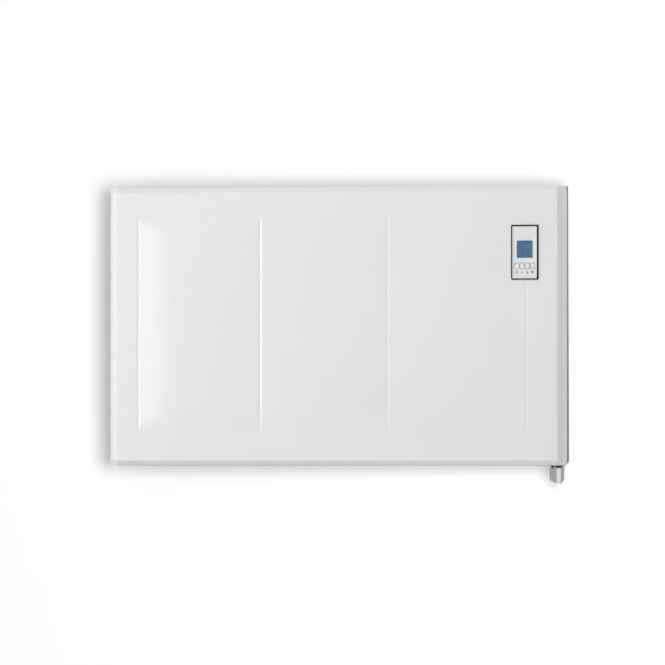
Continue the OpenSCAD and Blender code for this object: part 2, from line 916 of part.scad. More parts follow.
// Round wire along points, with a ring of sides at each; the reference must not lie along the wire
function unit(v) = v / norm(v);
function along(p, i) = unit(p[min(i + 1, len(p) - 1)] - p[max(i - 1, 0)]);

module wire(path, r, reference) {
    sides = 8;
    count = len(path);
    points = [
        for (i = [0 : count - 1])
            let (d = along(path, i), u = unit(cross(d, reference)), v = cross(u, d))
                for (k = [0 : sides - 1])
                    let (a = k * 360 / sides) path[i] + r * (cos(a) * u + sin(a) * v)
    ];
    wall = [
        for (i = [0 : count - 2], k = [0 : sides - 1])
            let (a = i * sides + k, b = i * sides + (k + 1) % sides)
                each [[a, b, a + sides], [b, b + sides, a + sides]]
    ];
    start = [for (k = [sides - 1 : -1 : 0]) k];
    finish = [for (k = [0 : sides - 1]) (count - 1) * sides + k];
    polyhedron(points, concat(wall, [start, finish]));
}

// Middle points of a route, rounded at its inner corners
function rounded(p, r) = concat(
    [p[0]],
    [
        for (i = [1 : len(p) - 2])
            let (a = unit(p[i - 1] - p[i]), b = unit(p[i + 1] - p[i]))
                for (t = [0 : 0.25 : 1])
                    (1 - t) * (1 - t) * (p[i] + r * a) + 2 * t * (1 - t) * p[i] + t * t * (p[i] + r * b)
    ],
    [p[len(p) - 1]]
);

// Leads: terminal block to the rod's right end, terminal block to the cut-out, cut-out to the left end
module element_leads() {
    end = rod_end + tab_gap + tab_l / 2;
    tab_z = element_z + tab_half + lead_r + fit;
    right_x = element_x + end;
    left_x = element_x - end;
    pole_x0 = terminal_x - terminal_pitch;
    pole_x1 = terminal_x;
    pole_y = board_front_y - terminal_depth + terminal_well_d - fit;
    pole_z = terminal_well_z;
    tab_y = cutout_tab_y - lead_r - face_play;
    tab_x = cutout_r - cutout_tab / 2;
    run = 6 * lead_bend;
    reference = [0.3, 0.5, -0.2];
    color([0.75, 0.75, 0.72]) {
        wire(
            rounded([
                [right_x, element_y, tab_z], [right_x, element_y, lead_low_z],
                [pole_x0, element_y, lead_low_z], [pole_x0, element_y, pole_z], [pole_x0, pole_y, pole_z]
            ], lead_bend),
            lead_r, reference
        );
        wire(
            rounded([
                [cutout_x + tab_x, tab_y, cutout_z], [cutout_x + run, tab_y, cutout_z],
                [cutout_x + run + 2 * lead_bend, lead_y, cutout_z], [pole_x1, lead_y, lead_high_z],
                [pole_x1, lead_y, pole_z], [pole_x1, pole_y, pole_z]
            ], lead_bend),
            lead_r, reference
        );
        wire(
            rounded([
                [cutout_x - tab_x, tab_y, cutout_z], [cutout_x - run, tab_y, cutout_z],
                [left_x, element_y, cutout_z], [left_x, element_y, tab_z]
            ], lead_bend),
            lead_r, reference
        );
    }
}

// Grommets that carry the leads through the partition
module lead_grommets() {
    far = partition_x + sheet_t;
    x0 = partition_x - grommet_lip;
    x1 = far + grommet_lip;
    color(plastic_dark)
        for (z = [lead_low_z, lead_high_z])
            difference() {
                union() {
                    peg_x(grommet_r - face_play, x0, x1, lead_y, z);
                    peg_x(grommet_r + grommet_lip, x0, partition_x - face_play, lead_y, z);
                    peg_x(grommet_r + grommet_lip, far + face_play, x1, lead_y, z);
                }
                peg_x(lead_r + fit, x0 - over, x1 + over, lead_y, z);
            }
}

// Box centred on the module, with half sizes, between two depths
module module_slab(hx, hz, y0, y1) {
    span([module_x - hx, y0, module_z - hz], [module_x + hx, y1, module_z + hz]);
}

// Weld studs on the panel's back that hold the box
module at_studs() {
    x = module_w / 2 + box_wall + stud_nut_r;
    z = module_h / 2 - stud_in;
    for (s = [-1, 1], t = [-1, 1])
        translate([module_x + s * x, 0, module_z + t * z])
            children();
}

// Box behind the opening: a flange against the panel, a well round the bezel and a seat for its body
module control_box() {
    well_y = face_in_y + box_well;
    seat_y = box_back_y - box_wall;
    cable_x = cable_w / 2 + 1.5;
    cable_z = module_z - cable_down;
    color(plastic_grey)
        difference() {
            union() {
                module_slab(
                    module_w / 2 + box_flange, module_h / 2 + box_flange,
                    face_in_y, face_in_y + box_flange_t
                );
                module_slab(module_w / 2 + box_wall, module_h / 2 + box_wall, face_in_y, box_back_y);
            }
            module_slab(module_w / 2, module_h / 2, face_in_y - over, well_y);
            module_slab(bezel_w / 2 + fit, bezel_h / 2 + fit, well_y - over, seat_y);
            span(
                [module_x - cable_x, seat_y - over, cable_z - 3],
                [module_x + cable_x, box_back_y + over, cable_z + 3]
            );
            at_studs()
                peg_y(stud_r + screw_play, face_in_y - over, face_in_y + box_flange_t + over, 0, 0);
        }
}

// Weld studs, each with its nut
module box_studs() {
    color(bright_metal)
        at_studs() {
            peg_y(stud_r, face_in_y, face_in_y + stud_l, 0, 0);
            translate([0, face_in_y + box_flange_t, 0])
                rotate([-90, 30, 0])
                    cylinder(r = stud_nut_r, h = 2.4, $fn = 6);
        }
}

// Bezel: a deep frame with a ledge at each end that the fascia lies on
module control_bezel() {
    corner = 1.2;
    ledge_y = fascia_back_y + bezel_ledge_t;
    color(plastic_white)
        difference() {
            union() {
                module_slab(bezel_w / 2 - corner, bezel_h / 2, bezel_y, bezel_y + bezel_d);
                module_slab(bezel_w / 2, bezel_h / 2 - corner, bezel_y, bezel_y + bezel_d);
                for (s = [-1, 1], t = [-1, 1])
                    peg_y(
                        corner, bezel_y, bezel_y + bezel_d,
                        module_x + s * (bezel_w / 2 - corner), module_z + t * (bezel_h / 2 - corner)
                    );
            }
            module_slab(inner_w, inner_h, bezel_y - over, fascia_back_y);
            module_slab(inner_w, inner_h - bezel_ledge, fascia_back_y - over, ledge_y + over);
            module_slab(inner_w, inner_h, ledge_y, bezel_y + bezel_d + over);
        }
}

// Oval across the buttons' face, with its long side up
module oval(w, h, y0, y1) {
    hull()
        for (s = [-1, 1])
            peg_y(w / 2, y0, y1, 0, s * (h - w) / 2, $fn = 32);
}

function button_x(i) = module_x + (i - (button_count - 1) / 2) * button_pitch;

module fascia() {
    color(plastic_white)
        difference() {
            module_slab(inner_w - panel_play, inner_h - panel_play, fascia_y, fascia_back_y);
            span(
                [module_x - window_w / 2, fascia_y - over, window_z - window_h / 2],
                [module_x + window_w / 2, fascia_back_y + over, window_z + window_h / 2]
            );
            for (i = [0 : button_count - 1])
                translate([button_x(i), 0, buttons_z])
                    oval(
                        button_w + 2 * button_play, button_h + 2 * button_play,
                        fascia_y - over, fascia_back_y + over
                    );
        }
}

module display_window() {
    w = window_w / 2 - panel_play;
    h = window_h / 2 - panel_play;
    color([0.75, 0.85, 0.92, 0.5])
        span(
            [module_x - w, fascia_y + window_set, window_z - h],
            [module_x + w, fascia_back_y, window_z + h]
        );
}

// Display with its light box, which stands on the control board
module lcd_panel() {
    w = window_w / 2 + lcd_frame;
    h = window_h / 2 + lcd_frame;
    color([0.3, 0.46, 0.6])
        span([module_x - w, lcd_y, window_z - h], [module_x + w, control_board_y, window_z + h]);
}

module control_board() {
    color(board_green)
        module_slab(inner_w - fit, inner_h - fit, control_board_y, control_board_y + board_t);
}

module tact_switches() {
    front = control_board_y - switch_h;
    half = switch_body / 2;
    color(plastic_dark)
        for (i = [0 : button_count - 1]) {
            x = button_x(i);
            span([x - half, front, buttons_z - half], [x + half, control_board_y, buttons_z + half]);
            peg_y(switch_pin_r, front - switch_pin_h, front, x, buttons_z);
        }
}

// Push button: an oval cap, a lip behind the fascia and a stem that meets its switch
module push_button(i) {
    cap_y = fascia_y - button_proud;
    lip_y = fascia_back_y + face_play;
    pin_y = control_board_y - switch_h - switch_pin_h;
    stem_y = pin_y - button_travel - face_play;
    color(plastic_white)
        translate([button_x(i), 0, buttons_z])
            union() {
                oval(button_w, button_h, cap_y, lip_y + button_lip_t / 2);
                oval(button_w + 2 * button_lip, button_h + 2 * button_lip, lip_y, lip_y + button_lip_t);
                peg_y(button_stem_r, lip_y, stem_y, 0, 0);
            }
}

module button_plus() {
    push_button(0);
}

module button_minus() {
    push_button(1);
}

module button_mode() {
    push_button(2);
}

module button_menu() {
    push_button(3);
}

// Power board on four spacers against the casing's back
spacer_in = 5;
spacer_r = 3;
board_screw_r = 1.25;
board_screw_l = 8;
board_screw_head_r = 2.6;
board_screw_head_h = 1.8;

module at_board_corners() {
    for (s = [-1, 1], t = [-1, 1])
        translate([board_x + s * (board_w / 2 - spacer_in), 0, board_z + t * (board_h / 2 - spacer_in)])
            children();
}

module power_board() {
    color(board_green)
        difference() {
            span(
                [board_x - board_w / 2, board_front_y, board_low_z],
                [board_x + board_w / 2, board_y, board_top_z]
            );
            at_board_corners()
                peg_y(board_screw_r + screw_play, board_front_y - over, board_y + over, 0, 0);
        }
}

module board_spacers() {
    color(plastic_white)
        at_board_corners()
            difference() {
                peg_y(spacer_r, board_y, case_in_y, 0, 0);
                peg_y(board_screw_r + pin_play, board_y - over, board_y + board_screw_l, 0, 0);
            }
}

module board_screws() {
    color(bright_metal)
        at_board_corners() {
            peg_y(board_screw_r, board_front_y, board_front_y + board_screw_l, 0, 0);
            peg_y(board_screw_head_r, board_front_y - board_screw_head_h, board_front_y, 0, 0);
        }
}

// Block on the board's face, given by its centre, its size across and up, and its height
module on_board(x, z, size, tall) {
    translate([x, board_front_y, z])
        slab(size.x / 2, size.y / 2, -tall, 0);
}

module relay() {
    color([0.2, 0.3, 0.5])
        on_board(board_x + 20, board_z + 28, [19, 15.5], 15);
}

heatsink_x = board_x - 20;
heatsink_z = board_z + 14;
heatsink_tall = 22;
heatsink_half = 22;
heatsink_fins = 7;

// Heat sink: a plate that stands on the board with fins to one side
module heatsink() {
    plate_t = 2;
    fin_t = 1.6;
    fin_l = 9;
    fin_pitch = (2 * heatsink_half - fin_t) / (heatsink_fins - 1);
    front = board_front_y - heatsink_tall;
    color([0.25, 0.25, 0.26])
        translate([heatsink_x, 0, heatsink_z])
            union() {
                span([-plate_t, front, -heatsink_half], [0, board_front_y, heatsink_half]);
                for (k = [0 : heatsink_fins - 1])
                    span(
                        [-plate_t - fin_l, front, k * fin_pitch - heatsink_half],
                        [0, board_front_y, k * fin_pitch + fin_t - heatsink_half]
                    );
            }
}

// Power switch: a flat case on the heat sink, on three legs
module triac() {
    case_w = 10;
    case_h = 15;
    case_t = 4.5;
    leg_h = 3;
    leg_x = 1.8;
    leg_t = 0.8;
    leg_pitch = 2.54;
    translate([heatsink_x, board_front_y, heatsink_z]) {
        color(plastic_dark)
            span([0, -leg_h - case_h, -case_w / 2], [case_t, -leg_h, case_w / 2]);
        color(bright_metal)
            for (k = [-1, 0, 1])
                span(
                    [leg_x, -leg_h - fit, k * leg_pitch - leg_t / 2],
                    [leg_x + leg_t, 0, k * leg_pitch + leg_t / 2]
                );
    }
}

module capacitor() {
    color([0.18, 0.2, 0.32])
        peg_y(6.3, board_front_y - 20, board_front_y, board_x + 18, board_z - 2);
}

// Screw terminals for the mains and the element, each pole with its screw well and its cable entry
module terminal_block() {
    poles = 3;
    block_h = 13;
    well_r = 2;
    entry_half = 3;
    low = -block_h / 2 - over;
    color([0.2, 0.45, 0.3])
        difference() {
            on_board(terminal_x, terminal_z, [poles * terminal_pitch, block_h], terminal_depth);
            for (k = [-1, 0, 1])
                translate([terminal_x + k * terminal_pitch, board_front_y - terminal_depth, terminal_z]) {
                    peg_y(well_r, -over, terminal_well_d, 0, terminal_well_z - terminal_z);
                    span([-entry_half, terminal_well_d, low], [entry_half, 2 * terminal_well_d, -1]);
                }
        }
}

// Flat cable from the control board, out of the box and down to the power board
module ribbon_cable() {
    top_y = control_board_y + board_t;
    out_y = box_back_y + 5;
    top_z = module_z - cable_down - cable_t / 2;
    low_z = board_top_z - 8;
    color(plastic_grey)
        translate([module_x - cable_w / 2, 0, 0])
            rotate([90, 0, 90])
                linear_extrude(cable_w)
                    polygon([
                        [top_y, top_z + cable_t], [out_y + cable_t, top_z + cable_t],
                        [out_y + cable_t, low_z + cable_t], [board_front_y, low_z + cable_t],
                        [board_front_y, low_z], [out_y, low_z], [out_y, top_z], [top_y, top_z]
                    ]);
}

// Cable inlet in the casing's back: a flanged bush held by a nut inside
module cable_gland() {
    color(plastic_dark)
        difference() {
            union() {
                peg_y(gland_r, case_in_y - gland_in, case_back_y, inlet_x, inlet_z);
                peg_y(gland_flange_r, case_back_y, case_back_y + gland_flange_t, inlet_x, inlet_z);
            }
            peg_y(
                inlet_r, case_in_y - gland_in - over, case_back_y + gland_flange_t + over,
                inlet_x, inlet_z
            );
        }
}

module gland_nut() {
    color(plastic_dark)
        difference() {
            translate([inlet_x, case_in_y, inlet_z])
                rotate([90, 0, 0])
                    cylinder(r = gland_flange_r, h = gland_nut_t, $fn = 6);
            peg_y(gland_r + pin_play, case_in_y - gland_nut_t - over, case_in_y + over, inlet_x, inlet_z);
        }
}

// Column whose foot has its own height at each corner; the foot fans out from the lowest corner
module slanted_column(corners, top, low) {
    n = len(corners);
    points = concat(
        [for (c = corners) [c.x, c.y, top]],
        [for (c = corners) [c.x, c.y, c.z]]
    );
    walls = [for (i = [0 : n - 1]) let (k = (i + 1) % n) each [[k, i, i + n], [k, i + n, k + n]]];
    foot = [for (i = [1 : n - 2]) [n + low, n + (low + i + 1) % n, n + (low + i) % n]];
    polyhedron(points, concat([[for (i = [0 : n - 1]) i]], walls, foot));
}

// Corners of the housing seen from above, drawn in by an inset, with the foot's height at each
function sensor_corners(inset) =
    let (
        x0 = sensor_x0 + inset, x1 = sensor_x1 - inset,
        y0 = sensor_y0 + inset, y1 = sensor_y1 - inset,
        low = sensor_z - sensor_h + inset, high = low + sensor_slope,
        c = sensor_chamfer - inset / 2
    )
    [
        [x0, y1, high], [x1, y1, high], [x1, y0 + c, low],
        [x1 - c, y0, low + chamfer_rise], [x0, y0, high]
    ];

// Housing of the room temperature sensor, under the panel, with air slots below its lid
module sensor_housing() {
    rib_x = (sensor_x0 + sensor_x1) / 2;
    neck_x0 = sensor_x0 + neck_inset;
    neck_x1 = sensor_x1 - neck_inset;
    neck_y0 = sensor_y0 + neck_inset;
    color(plastic_grey)
        difference() {
            union() {
                slanted_column(sensor_corners(0), sensor_z, 2);
                span([neck_x0, neck_y0, sensor_z - sensor_lid / 2], [neck_x1, neck_y1, sensor_z + neck_h]);
            }
            slanted_column(sensor_corners(sensor_wall), sensor_z - sensor_lid, 2);
            span(
                [neck_x0 + neck_wall, neck_y0 + neck_wall, sensor_z - sensor_lid - over],
                [neck_x1 - neck_wall, neck_y1 - neck_wall, sensor_z + neck_h + over]
            );
            span(
                [sensor_x0 - over, sensor_y0 - over, vent_z0],
                [rib_x - vent_rib, sensor_y0 + sensor_chamfer, vent_z1]
            );
            span(
                [rib_x + vent_rib, sensor_y0 - over, vent_z0],
                [sensor_x1 + over, sensor_y0 + sensor_d / 2, vent_z1]
            );
        }
}

// Temperature sensor: a resin drop on a small board strip that stands in the housing's neck
module sensor_bead() {
    color([0.15, 0.14, 0.13])
        union() {
            translate([resin_x, resin_y, resin_z])
                sphere(r = resin_r);
            span(
                [resin_x - strip_t / 2, resin_y - strip_half, resin_z - resin_r / 2],
                [resin_x + strip_t / 2, resin_y + strip_half, strip_top_z]
            );
        }
}

// Thin lead from the sensor, up through the right-hand chamber to the power board
module sensor_lead() {
    wire_r = 0.8;
    bend = 7;
    top_z = board_low_z + 3 * bend;
    edge_x = board_x + board_w / 2 - 4;
    color(plastic_dark)
        wire(
            rounded([
                [resin_x, resin_y, strip_top_z], [resin_x, resin_y, strip_top_z + 2 * bend],
                [edge_x, resin_y, strip_top_z + 5 * bend], [edge_x, resin_y, top_z],
                [edge_x, board_front_y, top_z]
            ], bend),
            wire_r, [0.8, 0.5, 0.1]
        );
}

// Profile of a hook, with its depth across and its height up, for an arm whose top is at zero
hook_outline = [
    [web_y, -hook_arm], [hook_end_y + hook_corner, -hook_arm],
    [hook_end_y, -hook_arm + hook_corner], [hook_end_y, hook_rise],
    [(hook_end_y + hook_in_y) / 2, hook_rise], [hook_in_y, hook_rise - hook_lead_in],
    [hook_in_y, 0], [web_y, 0]
];

// Upright: a channel that is screwed to the wall, with two hooks on its outer web
module bracket_upright(s) {
    inner = upright_half - bracket_t;
    color(galvanised)
        difference() {
            union() {
                translate([s * upright_x, 0, 0])
                    difference() {
                        slab(upright_half, upright_z, web_y, 0);
                        slab(inner, upright_z + over, web_y - over, -bracket_t);
                    }
                for (z = [-hook_z, hook_z])
                    translate([s * hook_x - bracket_t / 2, 0, z])
                        rotate([90, 0, 90])
                            linear_extrude(bracket_t)
                                polygon(hook_outline);
            }
            for (t = [-1, 1])
                peg_y(fix_r, -bracket_t - over, over, s * upright_x, t * fix_z / 2);
            for (t = [-1, 1], u = [-1, 1])
                rivet_peg(rivet_r + face_play, bracket_t + over, s, t * rail_span / 2 + u * rivet_z);
        }
}

// Round peg through an upright's inner web and a rail's ear, as far to one side as to the other
module rivet_peg(r, reach, s, z) {
    peg_x(r, s * rail_half - reach, s * rail_half + reach, rivet_y, z);
}

module bracket_upright_left() {
    bracket_upright(-1);
}

module bracket_upright_right() {
    bracket_upright(1);
}

// Rail: a channel between the uprights, with an ear at each end
module bracket_rail(t) {
    z = t * rail_span / 2;
    inner = rail_h / 2 - bracket_t;
    color(galvanised)
        difference() {
            span([-rail_half, -rail_d, z - rail_h / 2], [rail_half, 0, z + rail_h / 2]);
            span(
                [-rail_half + bracket_t, -rail_d - over, z - inner],
                [rail_half - bracket_t, -bracket_t, z + inner]
            );
            for (s = [-1, 1], u = [-1, 1])
                rivet_peg(rivet_r + face_play, bracket_t + over, s, z + u * rivet_z);
        }
}

module bracket_rail_top() {
    bracket_rail(1);
}

module bracket_rail_bottom() {
    bracket_rail(-1);
}

module bracket_rivets() {
    color(bright_metal)
        for (s = [-1, 1], t = [-1, 1], u = [-1, 1]) {
            z = t * rail_span / 2 + u * rivet_z;
            x0 = s * rail_half - bracket_t;
            x1 = s * rail_half + bracket_t;
            rivet_peg(rivet_r, bracket_t + rivet_head_h / 2, s, z);
            peg_x(rivet_head_r, x0 - rivet_head_h, x0, rivet_y, z);
            peg_x(rivet_head_r, x1, x1 + rivet_head_h, rivet_y, z);
        }
}

front_panel();
rear_cover();
case_screws();
partition();
reflector();
element_body();
heating_rod();
terminal_tabs();
element_bush_left();
element_bush_right();
element_support_left();
element_support_right();
thermal_cutout();
cutout_clip();
element_leads();
lead_grommets();
control_box();
control_bezel();
fascia();
display_window();
lcd_panel();
control_board();
tact_switches();
box_studs();
power_board();
board_spacers();
board_screws();
relay();
heatsink();
triac();
capacitor();
terminal_block();
ribbon_cable();
cable_gland();
gland_nut();
sensor_housing();
sensor_bead();
sensor_lead();
button_plus();
button_minus();
button_mode();
button_menu();
bracket_upright_left();
bracket_upright_right();
bracket_rail_top();
bracket_rail_bottom();
bracket_rivets();
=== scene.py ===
# Looks of the wall-hung panel heater: the pressed front as a fine mesh, the control module's print and
# buttons, the seals, the painted shade and glow round the module, the finishes, the lamps and the camera.
# Metres, in the frame of the model.
import json
import math

import bmesh
import bpy
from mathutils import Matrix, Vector


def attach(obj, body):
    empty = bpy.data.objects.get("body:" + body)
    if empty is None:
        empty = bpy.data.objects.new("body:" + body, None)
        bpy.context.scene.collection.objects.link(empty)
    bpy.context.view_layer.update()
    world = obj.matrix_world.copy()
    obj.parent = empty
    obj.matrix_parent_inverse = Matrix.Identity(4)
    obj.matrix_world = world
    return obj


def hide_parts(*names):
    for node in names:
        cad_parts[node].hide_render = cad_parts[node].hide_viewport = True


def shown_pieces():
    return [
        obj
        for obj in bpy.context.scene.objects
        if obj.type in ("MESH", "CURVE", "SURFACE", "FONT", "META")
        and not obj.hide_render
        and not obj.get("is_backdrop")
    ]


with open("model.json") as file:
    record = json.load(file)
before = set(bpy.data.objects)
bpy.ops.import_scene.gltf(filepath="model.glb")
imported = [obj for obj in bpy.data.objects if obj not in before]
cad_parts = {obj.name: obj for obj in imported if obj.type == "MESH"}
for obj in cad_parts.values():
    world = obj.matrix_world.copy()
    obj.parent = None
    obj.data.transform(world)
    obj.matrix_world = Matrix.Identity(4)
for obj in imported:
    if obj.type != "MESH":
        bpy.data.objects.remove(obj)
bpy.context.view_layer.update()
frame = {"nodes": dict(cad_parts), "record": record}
nodes = frame["nodes"]
slots = {part["node"]: part["material_slot"] for part in frame["record"]["subparts"]}
MM = 0.001

# ---------------------------------------------------------------- Sizes shared with the model

half_w = 382.5 * MM
half_h = 225 * MM
bevel = 7.5 * MM
sheet_t = 1 * MM
flange_w = 14 * MM
seam = 0.6 * MM
bevel_y = -79 * MM
face_y = bevel_y - bevel
joint_y = -53 * MM

groove_x = [-333 * MM, -126 * MM, 90 * MM, 323.5 * MM]
groove_z0 = -168 * MM
groove_z1 = 177 * MM
groove_d = [0.6 * MM, 0.6 * MM, 0.6 * MM, 0.3 * MM]
groove_half = 3.2 * MM
groove_end = 6 * MM
pillow_rise = 2 * MM
pillow_over = 12 * MM
fade = 44 * MM
pad = 14 * MM
pad_blend = 30 * MM

module_x = 321 * MM
module_z = 118 * MM
module_w = 45 * MM
module_h = 88 * MM
module_gap = 2 * MM
pad_x = module_x - module_w / 2 - pad
pad_z0 = module_z - module_h / 2 - pad
pad_z1 = module_z + module_h / 2 + pad
# The fourth groove ends below the module, where the flat round it begins
short_top = pad_z0 + groove_end / 2

bezel_y = face_y - 2 * MM
fascia_y = bezel_y + 0.8 * MM
fascia_back_y = fascia_y + 1.6 * MM
lcd_y = fascia_back_y + 0.1 * MM
window_w = 26.5 * MM
window_h = 28 * MM
window_z = module_z + 5 * MM

button_w = 6.8 * MM
button_h = 9.8 * MM
button_pitch = 8.8 * MM
button_play = 0.4 * MM
button_proud = 0.6 * MM
button_lip = 0.7 * MM
button_lip_t = 0.8 * MM
button_stem_r = 1.5 * MM
stem_y = -84 * MM
buttons_z = module_z - 22 * MM

# Lower rear corners: a plane cuts them off at these distances from the rim's corner
rim_x = 382.9 * MM
rim_z = 225.4 * MM
hem_y = -44.5 * MM
notch = Vector((6 * MM, 19.5 * MM, 6 * MM))

screw_r = 1.9 * MM
screw_l = 8 * MM
screw_head_r = 3.6 * MM
screw_head_h = 2.2 * MM
screw_corner_x = 82.5 * MM
screw_corner_z = 115 * MM


# ---------------------------------------------------------------- Meshes

join_within = 1e-6
flat_angle = math.radians(0.5)


def add_object(name, data, body):
    """Links a new piece that rides on a body."""
    piece = bpy.data.objects.new(name, data)
    bpy.context.scene.collection.objects.link(piece)
    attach(piece, body)
    return piece


def shade_by_area(piece):
    """Lets large faces keep their own direction, so that only the rounds between them turn."""
    piece.modifiers.new("normals", "WEIGHTED_NORMAL")


def mesh_from(name, points, faces, smooth=True):
    """Mesh with its doubled points joined and all faces turned outwards."""
    mesh = bpy.data.meshes.new(name)
    mesh.from_pydata(points, [], faces)
    bm = bmesh.new()
    bm.from_mesh(mesh)
    bmesh.ops.remove_doubles(bm, verts=bm.verts, dist=join_within)
    bmesh.ops.recalc_face_normals(bm, faces=bm.faces)
    for face in bm.faces:
        face.smooth = smooth
    bm.to_mesh(mesh)
    bm.free()
    return mesh


def eased(node, name, width, body="heater", least=25.0):
    """Copy of a node with small rounds on edges that turn by more than least degrees."""
    bm = bmesh.new()
    bm.from_mesh(nodes[node].data)
    bmesh.ops.remove_doubles(bm, verts=bm.verts, dist=2 * join_within)
    bmesh.ops.dissolve_limit(bm, angle_limit=flat_angle, verts=bm.verts, edges=bm.edges)
    sharp = [
        edge for edge in bm.edges
        if len(edge.link_faces) == 2 and edge.calc_face_angle(0) > math.radians(least)
    ]
    bmesh.ops.bevel(
        bm, geom=sharp, offset=width, offset_type="OFFSET", segments=2,
        profile=0.5, affect="EDGES", clamp_overlap=True,
    )
    for face in bm.faces:
        face.smooth = True
    mesh = bpy.data.meshes.new(name)
    bm.to_mesh(mesh)
    bm.free()
    piece = add_object(name, mesh, body)
    shade_by_area(piece)
    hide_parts(node)
    return piece


def rings_mesh(name, rings, close_first=True, close_last=True):
    """Skin over rings with equal numbers of points, with faces over the two ends."""
    count = len(rings[0])
    points = [point for ring in rings for point in ring]
    faces = []
    for k in range(len(rings) - 1):
        for j in range(count):
            a, b = k * count + j, k * count + (j + 1) % count
            faces.append((a, b, b + count, a + count))
    if close_first:
        faces.append(tuple(range(count)))
    if close_last:
        last = (len(rings) - 1) * count
        faces.append(tuple(range(last, last + count)))
    return mesh_from(name, points, faces)


def plates(name, outlines, back_y, front_y, body):
    """Thin raised print: closed outlines across the front, between two depths."""
    points, faces = [], []
    for outline in outlines:
        first = len(points)
        count = len(outline)
        points += [(x, front_y, z) for x, z in outline] + [(x, back_y, z) for x, z in outline]
        faces.append(tuple(range(first, first + count)))
        faces.append(tuple(range(first + count, first + 2 * count)))
        for j in range(count):
            k = (j + 1) % count
            faces.append((first + j, first + k, first + count + k, first + count + j))
    return add_object(name, mesh_from(name, points, faces, False), body)


def oval(centre_x, centre_z, width, height, y, steps=12):
    """Points of an upright oval with straight sides."""
    radius = width / 2
    straight = max((height - width) / 2, 0)
    found = []
    for side in (1, -1):
        for i in range(steps + 1):
            angle = math.pi * i / steps + (0 if side > 0 else math.pi)
            found.append((
                centre_x + radius * math.cos(angle), y,
                centre_z + side * straight + radius * math.sin(angle),
            ))
    return found


def bar(x, z, width, height):
    """Outline of an upright or lying bar, round its middle."""
    a, b = width / 2, height / 2
    return [(x - a, z - b), (x + a, z - b), (x + a, z + b), (x - a, z + b)]


# ---------------------------------------------------------------- Pressed front

def smooth_step(t):
    """Soft change from 0 to 1 as t goes from 0 to 1."""
    c = min(max(t, 0.0), 1.0)
    return c * c * (3 - 2 * c)


def end_fade(z):
    """Share of a pillow's rise at a height."""
    low = smooth_step((z - groove_z0 + pillow_over) / fade)
    return low * smooth_step((groove_z1 + pillow_over - z) / fade)


def crown(x, a, b):
    """Share of a pillow's rise across it, between two grooves."""
    return 0.0 if x <= a or x >= b else 1 - ((2 * x - a - b) / (b - a)) ** 2


def pad_fade(x, z):
    """The panel is flat round the control module."""
    away = math.hypot(max(pad_x - x, 0), max(pad_z0 - z, z - pad_z1, 0))
    return smooth_step(away / pad_blend)


def groove(x, z, centre, top, depth):
    """Depth of one groove at a point, with run-out ends."""
    across = smooth_step(1 - abs(x - centre) / groove_half)
    ends = smooth_step((z - groove_z0) / groove_end + 0.5) * smooth_step((top - z) / groove_end + 0.5)
    return depth * across * ends


def rise(x, z):
    """How far the pressed front stands in front of its flat margin."""
    pillows = sum(crown(x, a, b) for a, b in zip(groove_x, groove_x[1:]))
    tops = [groove_z1, groove_z1, groove_z1, short_top]
    cuts = sum(groove(x, z, *each) for each in zip(groove_x, tops, groove_d))
    return pillow_rise * end_fade(z) * pad_fade(x, z) * pillows - cuts


def lines(start, end, coarse, fine_spans):
    """Grid lines from start to end, close together in the given spans (centre, half width, step)."""
    found = {start, end}
    count = math.ceil((end - start) / coarse)
    found.update(start + (end - start) * i / count for i in range(1, count))
    for centre, half, step in fine_spans:
        found = {v for v in found if abs(v - centre) > half + step / 2 or v in (start, end)}
        reach = round(half / step)
        found.update(centre + step * i for i in range(-reach, reach + 1))
    kept = sorted(v for v in found if start <= v <= end)
    return [v for i, v in enumerate(kept) if i == 0 or v - kept[i - 1] > 0.01 * MM]


def front_profile():
    """Section of the front from its face out: inset from the outer edge and depth, with round folds."""
    fold = 1.1 * MM
    # Heading is measured from straight outwards (0) to straight back (90) and inwards (180)
    corners = [
        (bevel, face_y, 0.0, 45.0),
        (0.0, bevel_y, 45.0, 90.0),
        (0.0, joint_y, 90.0, 180.0),
    ]
    points = []
    for inset, y, before, after in corners:
        tangent = fold * math.tan(math.radians(after - before) / 2)
        sine, cosine = math.sin(math.radians(before)), math.cos(math.radians(before))
        centre_in = inset + tangent * cosine + fold * sine
        centre_y = y - tangent * sine + fold * cosine
        steps = 6 if after - before > 60 else 4
        for i in range(steps + 1):
            heading = math.radians(before + (after - before) * i / steps)
            points.append((centre_in - fold * math.sin(heading), centre_y - fold * math.cos(heading)))
    points.append((flange_w, joint_y))
    return points


def cut_corners(mesh):
    """Takes off the two lower rear corners, where the folded edges leave each other free."""
    bm = bmesh.new()
    bm.from_mesh(mesh)
    for side in (-1, 1):
        bmesh.ops.bisect_plane(
            bm, geom=bm.verts[:] + bm.edges[:] + bm.faces[:],
            plane_co=(side * rim_x, hem_y, -rim_z + notch.z),
            plane_no=(side / notch.x, 1 / notch.y, -1 / notch.z),
            clear_outer=True,
        )
    bm.to_mesh(mesh)
    bm.free()


